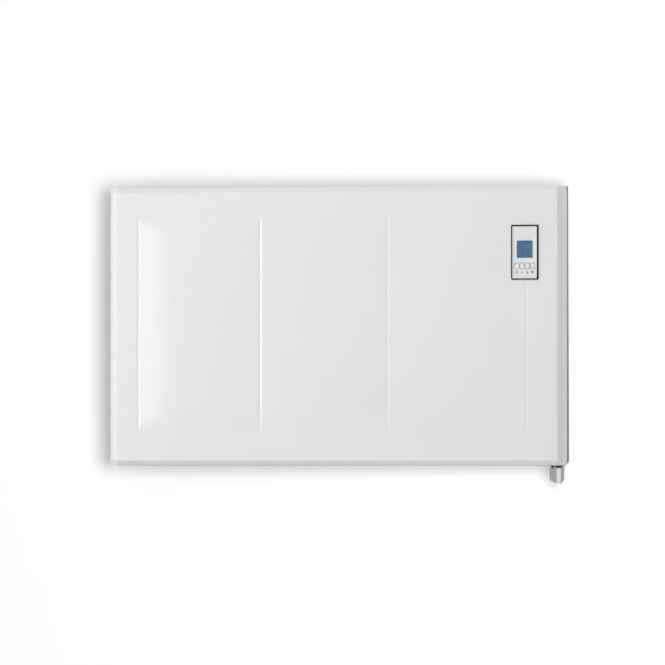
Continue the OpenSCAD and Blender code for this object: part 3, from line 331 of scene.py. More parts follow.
def build_front():
    """The pressed and folded front panel as one sheet, with open seams at its mitred bevels."""
    profile = front_profile()
    margin = profile[0][0]
    grid = 5 * MM
    edge_round = 1 * MM
    edge_steps = [0.0, 0.08 * MM, 0.3 * MM, 0.6 * MM, edge_round]
    across = [(x, 4 * MM, 0.4 * MM) for x in groove_x]
    ends = [(z, 5 * MM, 1 * MM) for z in (groove_z0, groove_z1, short_top)]
    xs = lines(-half_w + margin, half_w - margin, grid, across)
    zs = lines(-half_h + margin, half_h - margin, grid, ends)
    open_x = (module_x - module_w / 2, module_x + module_w / 2)
    open_z = (module_z - module_h / 2, module_z + module_h / 2)

    def with_edges(values, low, high):
        """Puts the opening's edge and the steps of its round among the lines."""
        kept = [v for v in values if min(abs(v - low), abs(v - high)) > edge_round * 1.5]
        kept += [low - s for s in edge_steps] + [high + s for s in edge_steps]
        return sorted(kept)

    xs = with_edges(xs, *open_x)
    zs = with_edges(zs, *open_z)

    def surface(x, z):
        """Depth of the sheet's face, turned in a little round the opening."""
        beside = math.hypot(
            max(open_x[0] - x, x - open_x[1], 0), max(open_z[0] - z, z - open_z[1], 0)
        )
        inside = max(edge_round - beside, 0)
        back = edge_round - math.sqrt(max(edge_round ** 2 - inside ** 2, 0))
        return face_y - rise(x, z) + 0.6 * back

    points, faces = [], []
    count_z = len(zs)
    for x in xs:
        for z in zs:
            points.append((x, surface(x, z), z))
    for i in range(len(xs) - 1):
        for j in range(count_z - 1):
            mid_x = (xs[i] + xs[i + 1]) / 2
            mid_z = (zs[j] + zs[j + 1]) / 2
            if open_x[0] < mid_x < open_x[1] and open_z[0] < mid_z < open_z[1]:
                continue
            a = i * count_z + j
            faces.append((a, a + count_z, a + count_z + 1, a + 1))

    # The mitre seams are open on the section's points between the middles of its first two folds
    gap = seam / 2 * math.sqrt(2)
    bevel_rows = range(2, 7)

    def strip(along, half, place):
        """One side's bevel, return and flange; place turns an inset, a run and a depth to a point."""
        first = len(points)
        for k, (inset, y) in enumerate(profile):
            for j, run in enumerate(along):
                if j in (0, len(along) - 1):
                    run = math.copysign(half - inset - (gap if k in bevel_rows else 0), run)
                points.append(place(inset, run, y))
        count = len(along)
        for k in range(len(profile) - 1):
            for j in range(count - 1):
                a = first + k * count + j
                faces.append((a, a + 1, a + count + 1, a + count))

    strip(zs, half_h, lambda inset, run, y: (half_w - inset, y, run))
    strip(zs, half_h, lambda inset, run, y: (-half_w + inset, y, run))
    strip(xs, half_w, lambda inset, run, y: (run, y, half_h - inset))
    strip(xs, half_w, lambda inset, run, y: (run, y, -half_h + inset))

    mesh = mesh_from("front_sheet", points, faces)
    cut_corners(mesh)
    piece = add_object("front_sheet", mesh, "heater")
    solid = piece.modifiers.new("sheet", "SOLIDIFY")
    solid.thickness = sheet_t
    solid.offset = -1
    solid.use_even_offset = True
    return piece


front = build_front()
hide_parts("front_panel")

# ---------------------------------------------------------------- Control module

print_t = 0.04 * MM
bezel = eased("control_bezel", "bezel_frame", 0.5 * MM)
fascia = eased("fascia", "fascia_plate", 0.2 * MM)
window = eased("display_window", "window_pane", 0.2 * MM)


def rounded_ring(middle_z, width, height, y, corner):
    """Points of a rectangle with round corners, over the module's middle line."""
    found = []
    for quarter in range(4):
        side_x = 1 if quarter in (0, 3) else -1
        side_z = 1 if quarter in (0, 1) else -1
        for i in range(5):
            angle = math.pi / 2 * (quarter + i / 4)
            found.append((
                module_x + side_x * (width / 2 - corner) + corner * math.cos(angle), y,
                middle_z + side_z * (height / 2 - corner) + corner * math.sin(angle),
            ))
    return found


def window_frame():
    """Low rounded rim round the display's window; its pale blue finish is painted glow from the display."""
    inner, outer, low, high = 0.1 * MM, 1.7 * MM, fascia_y + 0.05 * MM, fascia_y - 0.35 * MM
    edge = 0.15 * MM
    # Distance out from the window and depth
    section = [
        (inner, low), (inner, high + edge), (inner + edge, high),
        (outer - 0.5 * MM, high), (outer - 0.1 * MM, high + edge), (outer, low),
    ]
    rings = [
        rounded_ring(window_z, window_w + 2 * out, window_h + 2 * out, y, 0.4 * MM + out)
        for out, y in section + section[:1]
    ]
    mesh = rings_mesh("window_frame", rings, False, False)
    piece = add_object("window_frame", mesh, "heater")
    shade_by_area(piece)
    return piece


rim = window_frame()


def button_x(index):
    """Middle of a button, counted from the left."""
    return module_x + (index - 1.5) * button_pitch


def button_cap(node, index):
    """Push button: stem, lip behind the fascia and an oval cap with a round edge and a dished top."""
    top = fascia_y - button_proud
    lip = fascia_back_y + 0.1 * MM
    edge = 0.9 * MM
    dish = 0.3 * MM
    least = 0.15 * MM
    stem_w = 2 * button_stem_r
    lip_w, lip_h = button_w + 2 * button_lip, button_h + 2 * button_lip
    # Width, height and depth of each ring, from the stem's end to the middle of the cap
    sizes = [(stem_w, stem_w, stem_y), (stem_w, stem_w, lip + button_lip_t)]
    sizes += [(lip_w, lip_h, lip + button_lip_t), (lip_w, lip_h, lip)]
    sizes += [(button_w, button_h, lip), (button_w, button_h, top + edge)]
    for i in range(1, 7):
        angle = math.pi / 2 * i / 6
        inset = edge * (1 - math.cos(angle))
        sizes.append((button_w - 2 * inset, button_h - 2 * inset, top + edge * (1 - math.sin(angle))))
    for i in range(1, 6):
        share = i / 5
        inset = edge + (button_w / 2 - edge - least) * share
        sizes.append((button_w - 2 * inset, button_h - 2 * inset, top + dish * smooth_step(share * 1.4)))
    mesh = rings_mesh(node + "_cap", [oval(button_x(index), buttons_z, *size) for size in sizes])
    piece = add_object(node + "_cap", mesh, node)
    shade_by_area(piece)
    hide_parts(node)
    return piece


def bezel_shade_sleeve():
    """Black rubber sleeve round the bezel, whose lip covers the panel's edge; its black stands in for painted
    shade in the gap round the module, and it is narrower below, where light falls into that gap.
    """
    grip, stem, lip, edge = 0.05 * MM, 1.8 * MM, 2.35 * MM, 0.4 * MM
    front_y, lip_y, back_y = bezel_y + 0.25 * MM, face_y - 0.08 * MM, bezel_y + 22 * MM
    # Distance out from the bezel and depth
    section = [
        (-grip, front_y), (lip - edge, front_y), (lip, front_y + edge), (lip, lip_y),
        (stem, lip_y), (stem, back_y), (-grip, back_y),
    ]
    width, height = module_w - 2 * module_gap, module_h - 2 * module_gap
    corner = 1.2 * MM
    above, below, turn = 1.0, 0.5, 0.2
    rings = [
        rounded_ring(
            module_z + (above - below) / 2 * out, width + 2 * out, height + (above + below) * out, y,
            corner + turn * out,
        )
        for out, y in section + section[:1]
    ]
    mesh = rings_mesh("bezel_shade_sleeve", rings, False, False)
    return add_object("bezel_shade_sleeve", mesh, "heater")


# The black sleeve is painted shade for the gap round the module, narrower below where that gap is lit
shade_sleeve = bezel_shade_sleeve()

buttons = ["button_plus", "button_minus", "button_mode", "button_menu"]
caps = [button_cap(node, index) for index, node in enumerate(buttons)]


def button_shade_rings():
    """Grey ring round each button's opening: a print that is painted shade, standing in for the shade in the
    gap round each button.
    """
    inner = button_play + 0.2 * MM
    outer = inner + 0.5 * MM
    front_y = fascia_y - print_t
    section = [(inner, fascia_y), (inner, front_y), (outer, front_y), (outer, fascia_y), (inner, fascia_y)]
    points, faces = [], []
    for index in range(len(buttons)):
        loops = [
            oval(button_x(index), buttons_z, button_w + 2 * out, button_h + 2 * out, y) for out, y in section
        ]
        count = len(loops[0])
        first = len(points)
        points += [point for loop in loops for point in loop]
        for k in range(len(loops) - 1):
            for j in range(count):
                n = (j + 1) % count
                a = first + k * count
                faces.append((a + j, a + n, a + count + n, a + count + j))
    mesh = mesh_from("button_shade_rings", points, faces, False)
    return add_object("button_shade_rings", mesh, "heater")


rings = button_shade_rings()


def legends():
    """Marks below the buttons: plus, minus, a pointer and a menu."""
    z = module_z - 32 * MM
    xs = [button_x(index) for index in range(len(buttons))]
    long, thick = 3.2 * MM, 0.95 * MM
    arm = (long - thick) / 2
    reach = arm / 2 + thick / 2
    # Corners of the pointer and heights and widths of the menu's lines, in mm
    pointer = [(1.9, -3.1), (1.5, 0.3), (0.7, -0.4), (-1.2, 2.9), (-2.0, 2.3), (-0.2, -0.9), (-1.1, -1.6)]
    menu = [(1.2, 5.4), (0, 4.4), (-1.2, 3.2)]
    marks = [
        bar(xs[0], z, thick, long), bar(xs[0] - reach, z, arm, thick),
        bar(xs[0] + reach, z, arm, thick), bar(xs[1], z, long, thick),
        [(xs[2] + a * MM, z + b * MM) for a, b in pointer],
    ]
    marks += [bar(xs[3], z + step * MM, width * MM, 0.8 * MM) for step, width in menu]
    return plates("legends", marks, fascia_y + print_t / 2, fascia_y - print_t, "heater")


prints = legends()


def digits():
    """Figures of the display, made of seven bars each, with a degree mark and seven day marks."""
    wide, high, thick = 4.8 * MM, 10.4 * MM, 1.25 * MM
    middle_z = window_z - 4.5 * MM
    a, b = (wide - thick) / 2, (high - thick) / 4
    point = thick / 2
    # Place of each lit bar from the figure's middle, and whether it stands
    two = [(0, 2 * b, 0), (a, b, 1), (0, 0, 0), (-a, -b, 1), (0, -2 * b, 0)]
    one = [(a, b, 1), (a, -b, 1)]
    marks = []
    for bars, x in ((two, module_x - 3.3 * MM), (one, module_x + 2.9 * MM)):
        for dx, dz, upright in bars:
            length = (2 * b if upright else 2 * a) - 0.3 * MM - thick * 0.4
            ends = [(-length / 2, 0), (-length / 2 + point, point), (length / 2 - point, point),
                    (length / 2, 0), (length / 2 - point, -point), (-length / 2 + point, -point)]
            marks.append([
                (x + dx + (v if upright else u), middle_z + dz + (u if upright else v)) for u, v in ends
            ])
    # The degree mark is a small square of four bars: place, width and height in mm
    degree = [(-0.7, 0, 0.4, 1.8), (0.7, 0, 0.4, 1.8), (0, 0.7, 1, 0.4), (0, -0.7, 1, 0.4)]
    marks += [
        bar(module_x + 6.9 * MM + u * MM, middle_z + (4.2 + v) * MM, w * MM, h * MM) for u, v, w, h in degree
    ]
    marks += [bar(module_x + (i - 3) * 3 * MM, window_z + 10 * MM, 1.9 * MM, 0.7 * MM) for i in range(7)]
    return plates("display_figures", marks, lcd_y, lcd_y - print_t, "heater")


figures = digits()

# ---------------------------------------------------------------- Casing, sensor, screws and bracket

housing = eased("sensor_housing", "sensor_cover", 0.45 * MM)


def sensor_filter():
    """Dark foam block behind the sensor's air slots."""
    low, high = Vector((361.2 * MM, -72 * MM, -231 * MM)), Vector((373.8 * MM, -50 * MM, -225.9 * MM))
    mesh = bpy.data.meshes.new("sensor_filter")
    bm = bmesh.new()
    bmesh.ops.create_cube(bm, size=1)
    for vert in bm.verts:
        vert.co = Vector([a if c < 0 else b for c, a, b in zip(vert.co, low, high)])
    upright = [e for e in bm.edges if abs(e.verts[0].co.z - e.verts[1].co.z) > MM]
    bmesh.ops.bevel(bm, geom=upright, offset=3 * MM, segments=4, profile=0.5, affect="EDGES")
    bm.to_mesh(mesh)
    bm.free()
    return add_object("sensor_filter", mesh, "heater")


foam = sensor_filter()
# Folded sheets and the round inlet are eased only where they turn by more than this
steep = 50.0
casing = eased("rear_cover", "casing", 0.3 * MM, least=steep)
gland = eased("cable_gland", "inlet_gland", 0.8 * MM, least=steep)
rails = [
    eased(node, node + "_eased", 0.3 * MM, "bracket", steep)
    for node in ("bracket_upright_left", "bracket_upright_right", "bracket_rail_top", "bracket_rail_bottom")
]


def screw_parts(x, z, head_y, count=24):
    """Points and faces of a cross-recess pan head screw driven from the back."""
    half, reach, depth = 0.5 * MM, 1.9 * MM, 1.3 * MM
    tip_y, top_y = head_y - screw_l, head_y + screw_head_h
    # Radius and depth of each level, from the tip to the head's top
    levels = [(0.0, tip_y), (screw_r * 0.5, tip_y), (screw_r, tip_y + 1.2 * MM), (screw_r, head_y)]
    levels += [
        (screw_head_r * wide, head_y + screw_head_h * high)
        for wide, high in ((1, 0), (1, 0.45), (0.93, 0.75), (0.8, 0.93), (0.62, 1))
    ]
    points, faces = [(x, levels[0][1], z)], []
    for radius, y in levels[1:]:
        for j in range(count):
            angle = 2 * math.pi * j / count
            points.append((x + radius * math.cos(angle), y, z + radius * math.sin(angle)))
    faces += [(0, 1 + j, 1 + (j + 1) % count) for j in range(count)]
    for k in range(len(levels) - 2):
        for j in range(count):
            a, b = 1 + k * count + j, 1 + k * count + (j + 1) % count
            faces.append((a, b, b + count, a + count))
    last = 1 + (len(levels) - 2) * count
    # Cross: its outline on the head's top, and the same one drawn in a little at the bottom
    outline = [(reach, -half), (reach, half), (half, half)]
    cross = []
    for quarter in range(4):
        turn = math.pi / 2 * quarter
        sine, cosine = math.sin(turn), math.cos(turn)
        cross += [(u * cosine - v * sine, u * sine + v * cosine) for u, v in outline]
    first = len(points)
    for share, y in ((1.0, top_y), (0.8, top_y - depth)):
        points += [(x + u * share, y, z + v * share) for u, v in cross]
    size = len(cross)
    for j in range(size):
        k = (j + 1) % size
        faces.append((first + j, first + k, first + size + k, first + size + j))
    faces.append(tuple(first + size + j for j in range(size)))
    per = count // 4
    for quarter in range(4):
        start = quarter * per
        spoke = [last + (start + step) % count for step in (-1, 0, 1)]
        faces.append((first + 3 * quarter, *spoke, first + 3 * quarter + 1))
        corner = [last + (start + step) % count for step in range(1, per)]
        faces.append((
            first + 3 * quarter + 1, *corner, first + (3 * quarter + 3) % size, first + 3 * quarter + 2
        ))
    return points, faces


def case_screws():
    """The casing's twelve screws: eight along the long edges and four along the short ones."""
    head_y = joint_y + sheet_t
    edge_x, edge_z = half_w - flange_w / 2, half_h - flange_w / 2
    places = [(k * (half_w - screw_corner_x), s * edge_z) for k in (-1, -1 / 3, 1 / 3, 1) for s in (-1, 1)]
    places += [(s * edge_x, t * (half_h - screw_corner_z)) for s in (-1, 1) for t in (-1, 1)]
    points, faces = [], []
    for x, z in places:
        own_points, own_faces = screw_parts(x, z, head_y)
        first = len(points)
        points += own_points
        faces += [tuple(first + index for index in face) for face in own_faces]
    mesh = mesh_from("cross_screws", points, faces)
    piece = add_object("cross_screws", mesh, "heater")
    shade_by_area(piece)
    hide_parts("case_screws")
    return piece


screws = case_screws()

# ---------------------------------------------------------------- Finishes


def new_material(name):
    """Material with its node tree and its shader."""
    material = bpy.data.materials.new(name)
    material.use_nodes = True
    tree = material.node_tree
    shader = tree.nodes["Principled BSDF"]
    return material, tree, shader


def add_node(tree, kind, **inputs):
    """New node with values on its inputs; an underscore stands for a space."""
    node = tree.nodes.new(kind)
    for key, value in inputs.items():
        node.inputs[key.replace("_", " ")].default_value = value
    return node


def noise(tree, scale, detail=2.0, stretch=(1, 1, 1)):
    """Noise in the piece's own metres; stretch squeezes it along the axes."""
    place = tree.nodes.new("ShaderNodeTexCoord")
    mapping = tree.nodes.new("ShaderNodeMapping")
    mapping.inputs["Scale"].default_value = stretch
    texture = add_node(tree, "ShaderNodeTexNoise", Scale=scale, Detail=detail)
    tree.links.new(place.outputs["Object"], mapping.inputs["Vector"])
    tree.links.new(mapping.outputs["Vector"], texture.inputs["Vector"])
    return texture.outputs["Fac"]


def ramp(tree, value, low, high, at=(0.35, 0.65)):
    """Turns a value into a colour between two."""
    node = tree.nodes.new("ShaderNodeValToRGB")
    tree.links.new(value, node.inputs["Fac"])
    for element, colour, position in zip(node.color_ramp.elements, (low, high), at):
        element.color = (*colour, 1) if len(colour) == 3 else colour
        element.position = position
    return node.outputs["Color"]


def span_of(tree, value, low, high):
    """Turns a value from 0 to 1 into one between low and high."""
    node = add_node(tree, "ShaderNodeMapRange")
    node.inputs["To Min"].default_value = low
    node.inputs["To Max"].default_value = high
    tree.links.new(value, node.inputs["Value"])
    return node.outputs["Result"]


def bump(tree, shader, value, height, strength=1.0):
    """Fine relief in a material, from a value and a height."""
    node = add_node(tree, "ShaderNodeBump", Strength=strength, Distance=height)
    tree.links.new(value, node.inputs["Height"])
    tree.links.new(node.outputs["Normal"], shader.inputs["Normal"])


def mottled(tree, shader, colour, change, scale):
    """Base colour that wanders by a small share."""
    low = tuple(c * (1 - change) for c in colour)
    high = tuple(min(c * (1 + change), 1) for c in colour)
    tree.links.new(ramp(tree, noise(tree, scale, 3), low, high), shader.inputs["Base Color"])


def moulded(name, colour, roughness, grain=0.01 * MM, coat=0.0, mirror=0.5):
    """Moulded plastic: fine spark-eroded grain and a faintly uneven colour and gloss.

    Grain is its depth, coat its clear gloss and mirror its specular level.
    """
    material, tree, shader = new_material(name)
    mottled(tree, shader, colour, 0.015, 60)
    wear = span_of(tree, noise(tree, 120, 2), roughness - 0.05, roughness + 0.05)
    tree.links.new(wear, shader.inputs["Roughness"])
    shader.inputs["Specular IOR Level"].default_value = mirror
    shader.inputs["Coat Weight"].default_value = coat
    shader.inputs["Coat Roughness"].default_value = 0.12
    bump(tree, shader, noise(tree, 3500, 1), grain, 0.6)
    return material


def galvanised(name, colour, roughness):
    """Zinc-coated steel: faint spangle, rolling streaks and dulled patches."""
    material, tree, shader = new_material(name)
    place = tree.nodes.new("ShaderNodeTexCoord")
    cells = add_node(tree, "ShaderNodeTexVoronoi", Scale=130)
    tree.links.new(place.outputs["Object"], cells.inputs["Vector"])
    low = tuple(c * 0.95 for c in colour)
    high = tuple(min(c * 1.04, 1) for c in colour)
    grey = tree.nodes.new("ShaderNodeRGBToBW")
    tree.links.new(cells.outputs["Color"], grey.inputs["Color"])
    tree.links.new(ramp(tree, grey.outputs["Val"], low, high, (0.1, 0.9)), shader.inputs["Base Color"])
    dulled = span_of(tree, grey.outputs["Val"], roughness - 0.03, roughness + 0.05)
    tree.links.new(dulled, shader.inputs["Roughness"])
    shader.inputs["Metallic"].default_value = 0.85
    bump(tree, shader, noise(tree, 900, 2, (0.06, 1, 1)), 0.01 * MM, 0.5)
    return material


def bare_metal(name, colour, roughness, stretch=(0.05, 1, 1)):
    """Drawn or rolled metal with fine streaks along one axis."""
    material, tree, shader = new_material(name)
    streaks = noise(tree, 1400, 3, stretch)
    low = tuple(c * 0.88 for c in colour)
    tree.links.new(ramp(tree, streaks, low, colour), shader.inputs["Base Color"])
    tree.links.new(span_of(tree, streaks, roughness - 0.08, roughness + 0.08), shader.inputs["Roughness"])
    shader.inputs["Metallic"].default_value = 1.0
    bump(tree, shader, streaks, 0.008 * MM, 0.5)
    return material


def panel_paint():
    """White powder coat under a smooth gloss: even colour and very fine orange peel."""
    material, tree, shader = new_material("panel_paint")
    mottled(tree, shader, (0.803, 0.795, 0.78), 0.006, 9)
    tree.links.new(span_of(tree, noise(tree, 500, 2), 0.4, 0.5), shader.inputs["Roughness"])
    shader.inputs["Specular IOR Level"].default_value = 0.3
    shader.inputs["Coat Weight"].default_value = 0.47
    shader.inputs["Coat Roughness"].default_value = 0.08
    bump(tree, shader, noise(tree, 420, 2), 0.004 * MM, 0.3)
    return material


def casing_paint():
    """Dark grey matt paint with a fine, even texture."""
    material, tree, shader = new_material("casing_steel")
    mottled(tree, shader, (0.21, 0.217, 0.21), 0.05, 40)
    tree.links.new(span_of(tree, noise(tree, 700, 2), 0.5, 0.62), shader.inputs["Roughness"])
    bump(tree, shader, noise(tree, 1300, 2), 0.02 * MM, 0.5)
    return material


def display_face():
    """Lit liquid crystal: blue, a little deeper towards its edges."""
    material, tree, shader = new_material("display")
    place = tree.nodes.new("ShaderNodeTexCoord")
    shift = tree.nodes.new("ShaderNodeMapping")
    half_x, half_z = window_w / 2, window_h / 2
    shift.inputs["Location"].default_value = (-module_x / half_x, 0, -window_z / half_z)
    shift.inputs["Scale"].default_value = (1 / half_x, 0, 1 / half_z)
    tree.links.new(place.outputs["Object"], shift.inputs["Vector"])
    away = tree.nodes.new("ShaderNodeVectorMath")
    away.operation = "LENGTH"
    tree.links.new(shift.outputs["Vector"], away.inputs[0])
    colour = ramp(tree, away.outputs["Value"], (0.055, 0.158, 0.296), (0.06, 0.142, 0.245), (0.5, 1.25))
    tree.links.new(colour, shader.inputs["Base Color"])
    tree.links.new(colour, shader.inputs["Emission Color"])
    shader.inputs["Emission Strength"].default_value = 0.25
    shader.inputs["Roughness"].default_value = 0.3
    bump(tree, shader, noise(tree, 2500, 1), 0.004 * MM, 0.3)
    return material


def clear_window():
    """Clear pane with a faint blue tint."""
    material, tree, shader = new_material("window")
    tint = ramp(tree, noise(tree, 40, 1), (0.045, 0.075, 0.11), (0.055, 0.085, 0.125))
    tree.links.new(tint, shader.inputs["Base Color"])
    shader.inputs["Roughness"].default_value = 0.06
    shader.inputs["Alpha"].default_value = 0.1
    return material


def circuit_board():
    """Green solder resist over tracks."""
    material, tree, shader = new_material("circuit_board")
    tracks = tree.nodes.new("ShaderNodeTexBrick")
    place = tree.nodes.new("ShaderNodeTexCoord")
    turn = tree.nodes.new("ShaderNodeMapping")
    turn.inputs["Rotation"].default_value = (math.radians(90), 0, 0)
    tracks.inputs["Scale"].default_value = 160
    tracks.inputs["Mortar Size"].default_value = 0.06
    tracks.inputs["Color1"].default_value = (0.018, 0.095, 0.04, 1)
    tracks.inputs["Color2"].default_value = (0.022, 0.12, 0.05, 1)
    tracks.inputs["Mortar"].default_value = (0.03, 0.17, 0.07, 1)
    tree.links.new(place.outputs["Object"], turn.inputs["Vector"])
    tree.links.new(turn.outputs["Vector"], tracks.inputs["Vector"])
    tree.links.new(tracks.outputs["Color"], shader.inputs["Base Color"])
    shader.inputs["Roughness"].default_value = 0.32
    bump(tree, shader, tracks.outputs["Fac"], 0.02 * MM, 0.5)
    return material


def printed(name, colour):
    """Matt print."""
    material, tree, shader = new_material(name)
    mottled(tree, shader, colour, 0.04, 300)
    shader.inputs["Roughness"].default_value = 0.5
    return material


def woven(name, colour):
    """Woven sleeve with a coarse grain."""
    material, tree, shader = new_material(name)
    mottled(tree, shader, colour, 0.05, 200)
    shader.inputs["Roughness"].default_value = 0.75
    bump(tree, shader, noise(tree, 1500, 1), 0.08 * MM, 0.8)
    return material


zinc = (0.64, 0.65, 0.66)
finishes = {
    "panel_paint": panel_paint(),
    "casing_steel": casing_paint(),
    "bracket_steel": galvanised("bracket_steel", zinc, 0.38),
    "inner_steel": galvanised("inner_steel", zinc, 0.36),
    "fasteners": bare_metal("fasteners", (0.68, 0.68, 0.66), 0.3, (1, 1, 1)),
    "reflector_metal": bare_metal("reflector_metal", (0.86, 0.86, 0.87), 0.22),
    "element_metal": bare_metal("element_metal", (0.74, 0.74, 0.75), 0.38),
    "rod_sheath": bare_metal("rod_sheath", (0.2, 0.19, 0.18), 0.5),
    "brass": bare_metal("brass", (0.72, 0.53, 0.22), 0.3),
    "ceramic": moulded("ceramic", (0.78, 0.74, 0.66), 0.6, 0.03 * MM),
    "rubber": moulded("rubber", (0.014, 0.014, 0.015), 0.62, 0.02 * MM, mirror=0.25),
    "lead_sleeve": woven("lead_sleeve", (0.55, 0.55, 0.52)),
    "dark_plastic": moulded("dark_plastic", (0.03, 0.03, 0.033), 0.42),
    "box_plastic": moulded("box_plastic", (0.3, 0.3, 0.3), 0.55),
    "bezel_plastic": moulded("bezel_plastic", (0.80, 0.80, 0.79), 0.34, 0.006 * MM, coat=0.2),
    "fascia_plastic": moulded("fascia_plastic", (0.78, 0.78, 0.775), 0.4, 0.005 * MM),
    "button_plastic": moulded("button_plastic", (0.8, 0.8, 0.8), 0.35, 0.005 * MM, coat=0.2),
    "window": clear_window(),
    "display": display_face(),
    "circuit_board": circuit_board(),
    "terminal_plastic": moulded("terminal_plastic", (0.03, 0.13, 0.06), 0.45),
    "sensor_plastic": moulded("sensor_plastic", (0.37, 0.37, 0.365), 0.34, 0.006 * MM, coat=0.18, mirror=0.0),
}


def finish_with(piece, material):
    """Puts a material in all of a piece's slots."""
    if not piece.material_slots:
        piece.data.materials.append(material)
    for place in piece.material_slots:
        place.material = material


for name, node in nodes.items():
    finish_with(node, finishes[slots[name]])
for piece, slot in [
    (front, "panel_paint"), (bezel, "bezel_plastic"), (fascia, "fascia_plastic"), (window, "window"),
    (housing, "sensor_plastic"), (shade_sleeve, "rubber"), (foam, "rubber"), (gland, "rubber"),
    (casing, "casing_steel"), (screws, "fasteners"),
    *[(cap, "button_plastic") for cap in caps], *[(rail, "bracket_steel") for rail in rails],
]:
    finish_with(piece, finishes[slot])
# The rim's pale blue is painted glow: it stands in for the display's light round its window
finish_with(rim, moulded("frame_painted_glow", (0.7, 0.79, 0.86), 0.25, 0.004 * MM, coat=0.3))
# The grey ring is painted shade for the gap round each button
finish_with(rings, printed("ring_painted_shade", (0.36, 0.36, 0.37)))
finish_with(prints, printed("legend_print", (0.05, 0.05, 0.055)))
finish_with(figures, printed("figure_print", (0.015, 0.065, 0.17)))

# ---------------------------------------------------------------- Wall, floor, lamps and camera

wall_half = 3.0
wall_top = 2.5
floor_z = -0.9
floor_half = 4.0
floor_front, floor_back = -5.0, 3.0
stage_grey = (0.8, 0.8, 0.8)


def rays_seen(tree):
    """One where a ray comes from the camera, a mirror or clear plastic, and zero elsewhere."""
    # Glossy and transmission rays are among them, so that metal and glass show the pale room too
    path = tree.nodes.new("ShaderNodeLightPath")
    value = path.outputs["Is Camera Ray"]
    for name in ("Is Glossy Ray", "Is Transmission Ray"):
        both = tree.nodes.new("ShaderNodeMath")
        both.operation = "MAXIMUM"
        tree.links.new(value, both.inputs[0])
        tree.links.new(path.outputs[name], both.inputs[1])
        value = both.outputs[0]
    return value


def stage_material(name, glow, give_back):
    """Pale matt surface that keeps shadows and shows white where none falls on it.

    Glow is its own light, which only the camera, mirrors and clear plastic see. Give_back is the share
    of its colour with which it throws light back on the object.
    """
    material = bpy.data.materials.new(name)
    material.use_nodes = True
    tree = material.node_tree
    tree.nodes.clear()
    output = tree.nodes.new("ShaderNodeOutputMaterial")
    matt = tree.nodes.new("ShaderNodeBsdfDiffuse")
    dim = tuple(give_back * c for c in stage_grey)
    tree.links.new(ramp(tree, rays_seen(tree), dim, stage_grey, (0, 1)), matt.inputs["Color"])
    light = add_node(tree, "ShaderNodeEmission", Color=(1, 1, 1, 1))
    total = tree.nodes.new("ShaderNodeAddShader")
    tree.links.new(span_of(tree, rays_seen(tree), 0.0, glow), light.inputs["Strength"])
    tree.links.new(matt.outputs[0], total.inputs[0])
    tree.links.new(light.outputs[0], total.inputs[1])
    # Open from behind and below, so that the heater's back and underside can be looked at
    geometry = tree.nodes.new("ShaderNodeNewGeometry")
    clear = tree.nodes.new("ShaderNodeBsdfTransparent")
    side = tree.nodes.new("ShaderNodeMixShader")
    tree.links.new(geometry.outputs["Backfacing"], side.inputs["Fac"])
    tree.links.new(total.outputs[0], side.inputs[1])
    tree.links.new(clear.outputs[0], side.inputs[2])
    tree.links.new(side.outputs[0], output.inputs["Surface"])
    return material


def stage_sheet(name, corners, material):
    """Flat sheet that is part of the stage."""
    mesh = bpy.data.meshes.new(name)
    mesh.from_pydata(corners, [], [(0, 1, 2, 3)])
    mesh.materials.append(material)
    sheet = bpy.data.objects.new(name, mesh)
    bpy.context.scene.collection.objects.link(sheet)
    sheet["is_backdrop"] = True
    return sheet


wall = stage_sheet(
    "wall",
    [(-wall_half, 0, floor_z), (wall_half, 0, floor_z), (wall_half, 0, wall_top), (-wall_half, 0, wall_top)],
    stage_material("wall_paint", glow=0.165, give_back=0.6),
)
floor = stage_sheet(
    "floor",
    [
        (-floor_half, floor_front, floor_z), (floor_half, floor_front, floor_z),
        (floor_half, floor_back, floor_z), (-floor_half, floor_back, floor_z),
    ],
    stage_material("floor_paint", glow=0.42, give_back=1.0),
)


def group_of(name, things):
    """Collection of objects that lamps light or are blocked by."""
    group = bpy.data.collections.new(name)
    for thing in things:
        group.objects.link(thing)
    return group


stage_group = group_of("stage_group", [wall, floor])
heater_group = group_of("heater_group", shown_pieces())
sensor_group = group_of("sensor_group", [housing])


def lamp(name, place, aim, size, watts, receivers, blockers=None):
    """Soft box of a width and a height at a place, turned to a point; it lights only its receivers."""
    data = bpy.data.lights.new(name, "AREA")
    data.shape = "RECTANGLE"
    data.size, data.size_y = size
    data.energy = watts
    light = bpy.data.objects.new(name, data)
    bpy.context.scene.collection.objects.link(light)
    light.location = place
    light.rotation_mode = "QUATERNION"
    light.rotation_quaternion = (Vector(aim) - Vector(place)).to_track_quat("-Z", "Y")
    light.light_linking.receiver_collection = receivers
    if blockers:
        light.light_linking.blocker_collection = blockers


middle = (0, face_y, 0)
# Box on the left, whose inner part the left slope of the first pillow mirrors
lamp("box_left", (-1.67, -2.9, 0), middle, (0.65, 2.3), 25, heater_group)
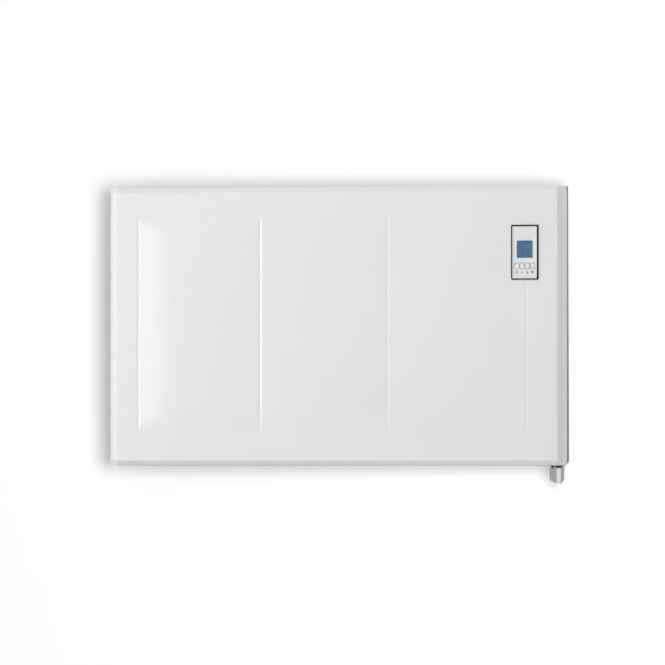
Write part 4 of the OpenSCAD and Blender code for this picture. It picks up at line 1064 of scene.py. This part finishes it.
# Narrow strip at the far left, which the steep side of each groove mirrors
lamp("box_strip", (-3.235, -2.604, 0.04), (groove_x[1], face_y, 0.04), (0.24, 0.9), 20.5, heater_group)
# Weak light along the wall for the left bevel
lamp("box_side", (-3.2, -0.45, 0), (-0.38, -0.08, 0), (0.3, 1.2), 8, heater_group)
# Broad light from above the camera
lamp("box_front", (-0.3, -4.0, 2.8), middle, (2.4, 1.6), 25, heater_group)
# Weak light from above for the top bevel
lamp("box_top", (0, -0.95, 2.6), (0, -0.08, 0.22), (1.2, 0.6), 7, heater_group)
# The wall's and the floor's own light comes from the right, so the heater's shadow shows at the left
lamp("box_wall", (1.75, -3.6, -0.15), (0, 0, 0), (1.2, 2.0), 131, stage_group)
# Low strip at the right for the sensor's facets
lamp("box_low", (2.28, -0.65, -0.25), (0.37, -0.06, -0.24), (0.35, 0.2), 12, sensor_group)
# Light on the heater's back for the views from behind the wall, which doesn't block it
lamp("box_behind", (-0.9, 2.4, 1.1), (0, 0, 0), (2.2, 1.8), 60, heater_group, heater_group)

ambient = 0.5
scene = bpy.context.scene
scene.view_settings.view_transform = "Standard"
world = bpy.data.worlds.new("studio")
scene.world = world
world.use_nodes = True
sky = world.node_tree
back = sky.nodes["Background"]
back.inputs["Color"].default_value = (1, 1, 1, 1)
sky.links.new(span_of(sky, rays_seen(sky), ambient, 1.0), back.inputs["Strength"])

camera_yaw = math.radians(16.9)
camera_pitch = math.radians(-0.6)
camera_distance = 20.0
frame_width = 1.0766
aim = Vector((-3.0 * MM, face_y, -10.2 * MM))
camera_data = bpy.data.cameras.new("camera")
camera_data.lens = camera_data.sensor_width * camera_distance / frame_width
camera_data.clip_end = 100
camera = bpy.data.objects.new("camera", camera_data)
scene.collection.objects.link(camera)
toward = Vector((
    math.sin(camera_yaw) * math.cos(camera_pitch),
    -math.cos(camera_yaw) * math.cos(camera_pitch),
    math.sin(camera_pitch),
))
camera.location = aim + toward * camera_distance
camera.rotation_mode = "QUATERNION"
camera.rotation_quaternion = (-toward).to_track_quat("-Z", "Y")
scene.camera = camera
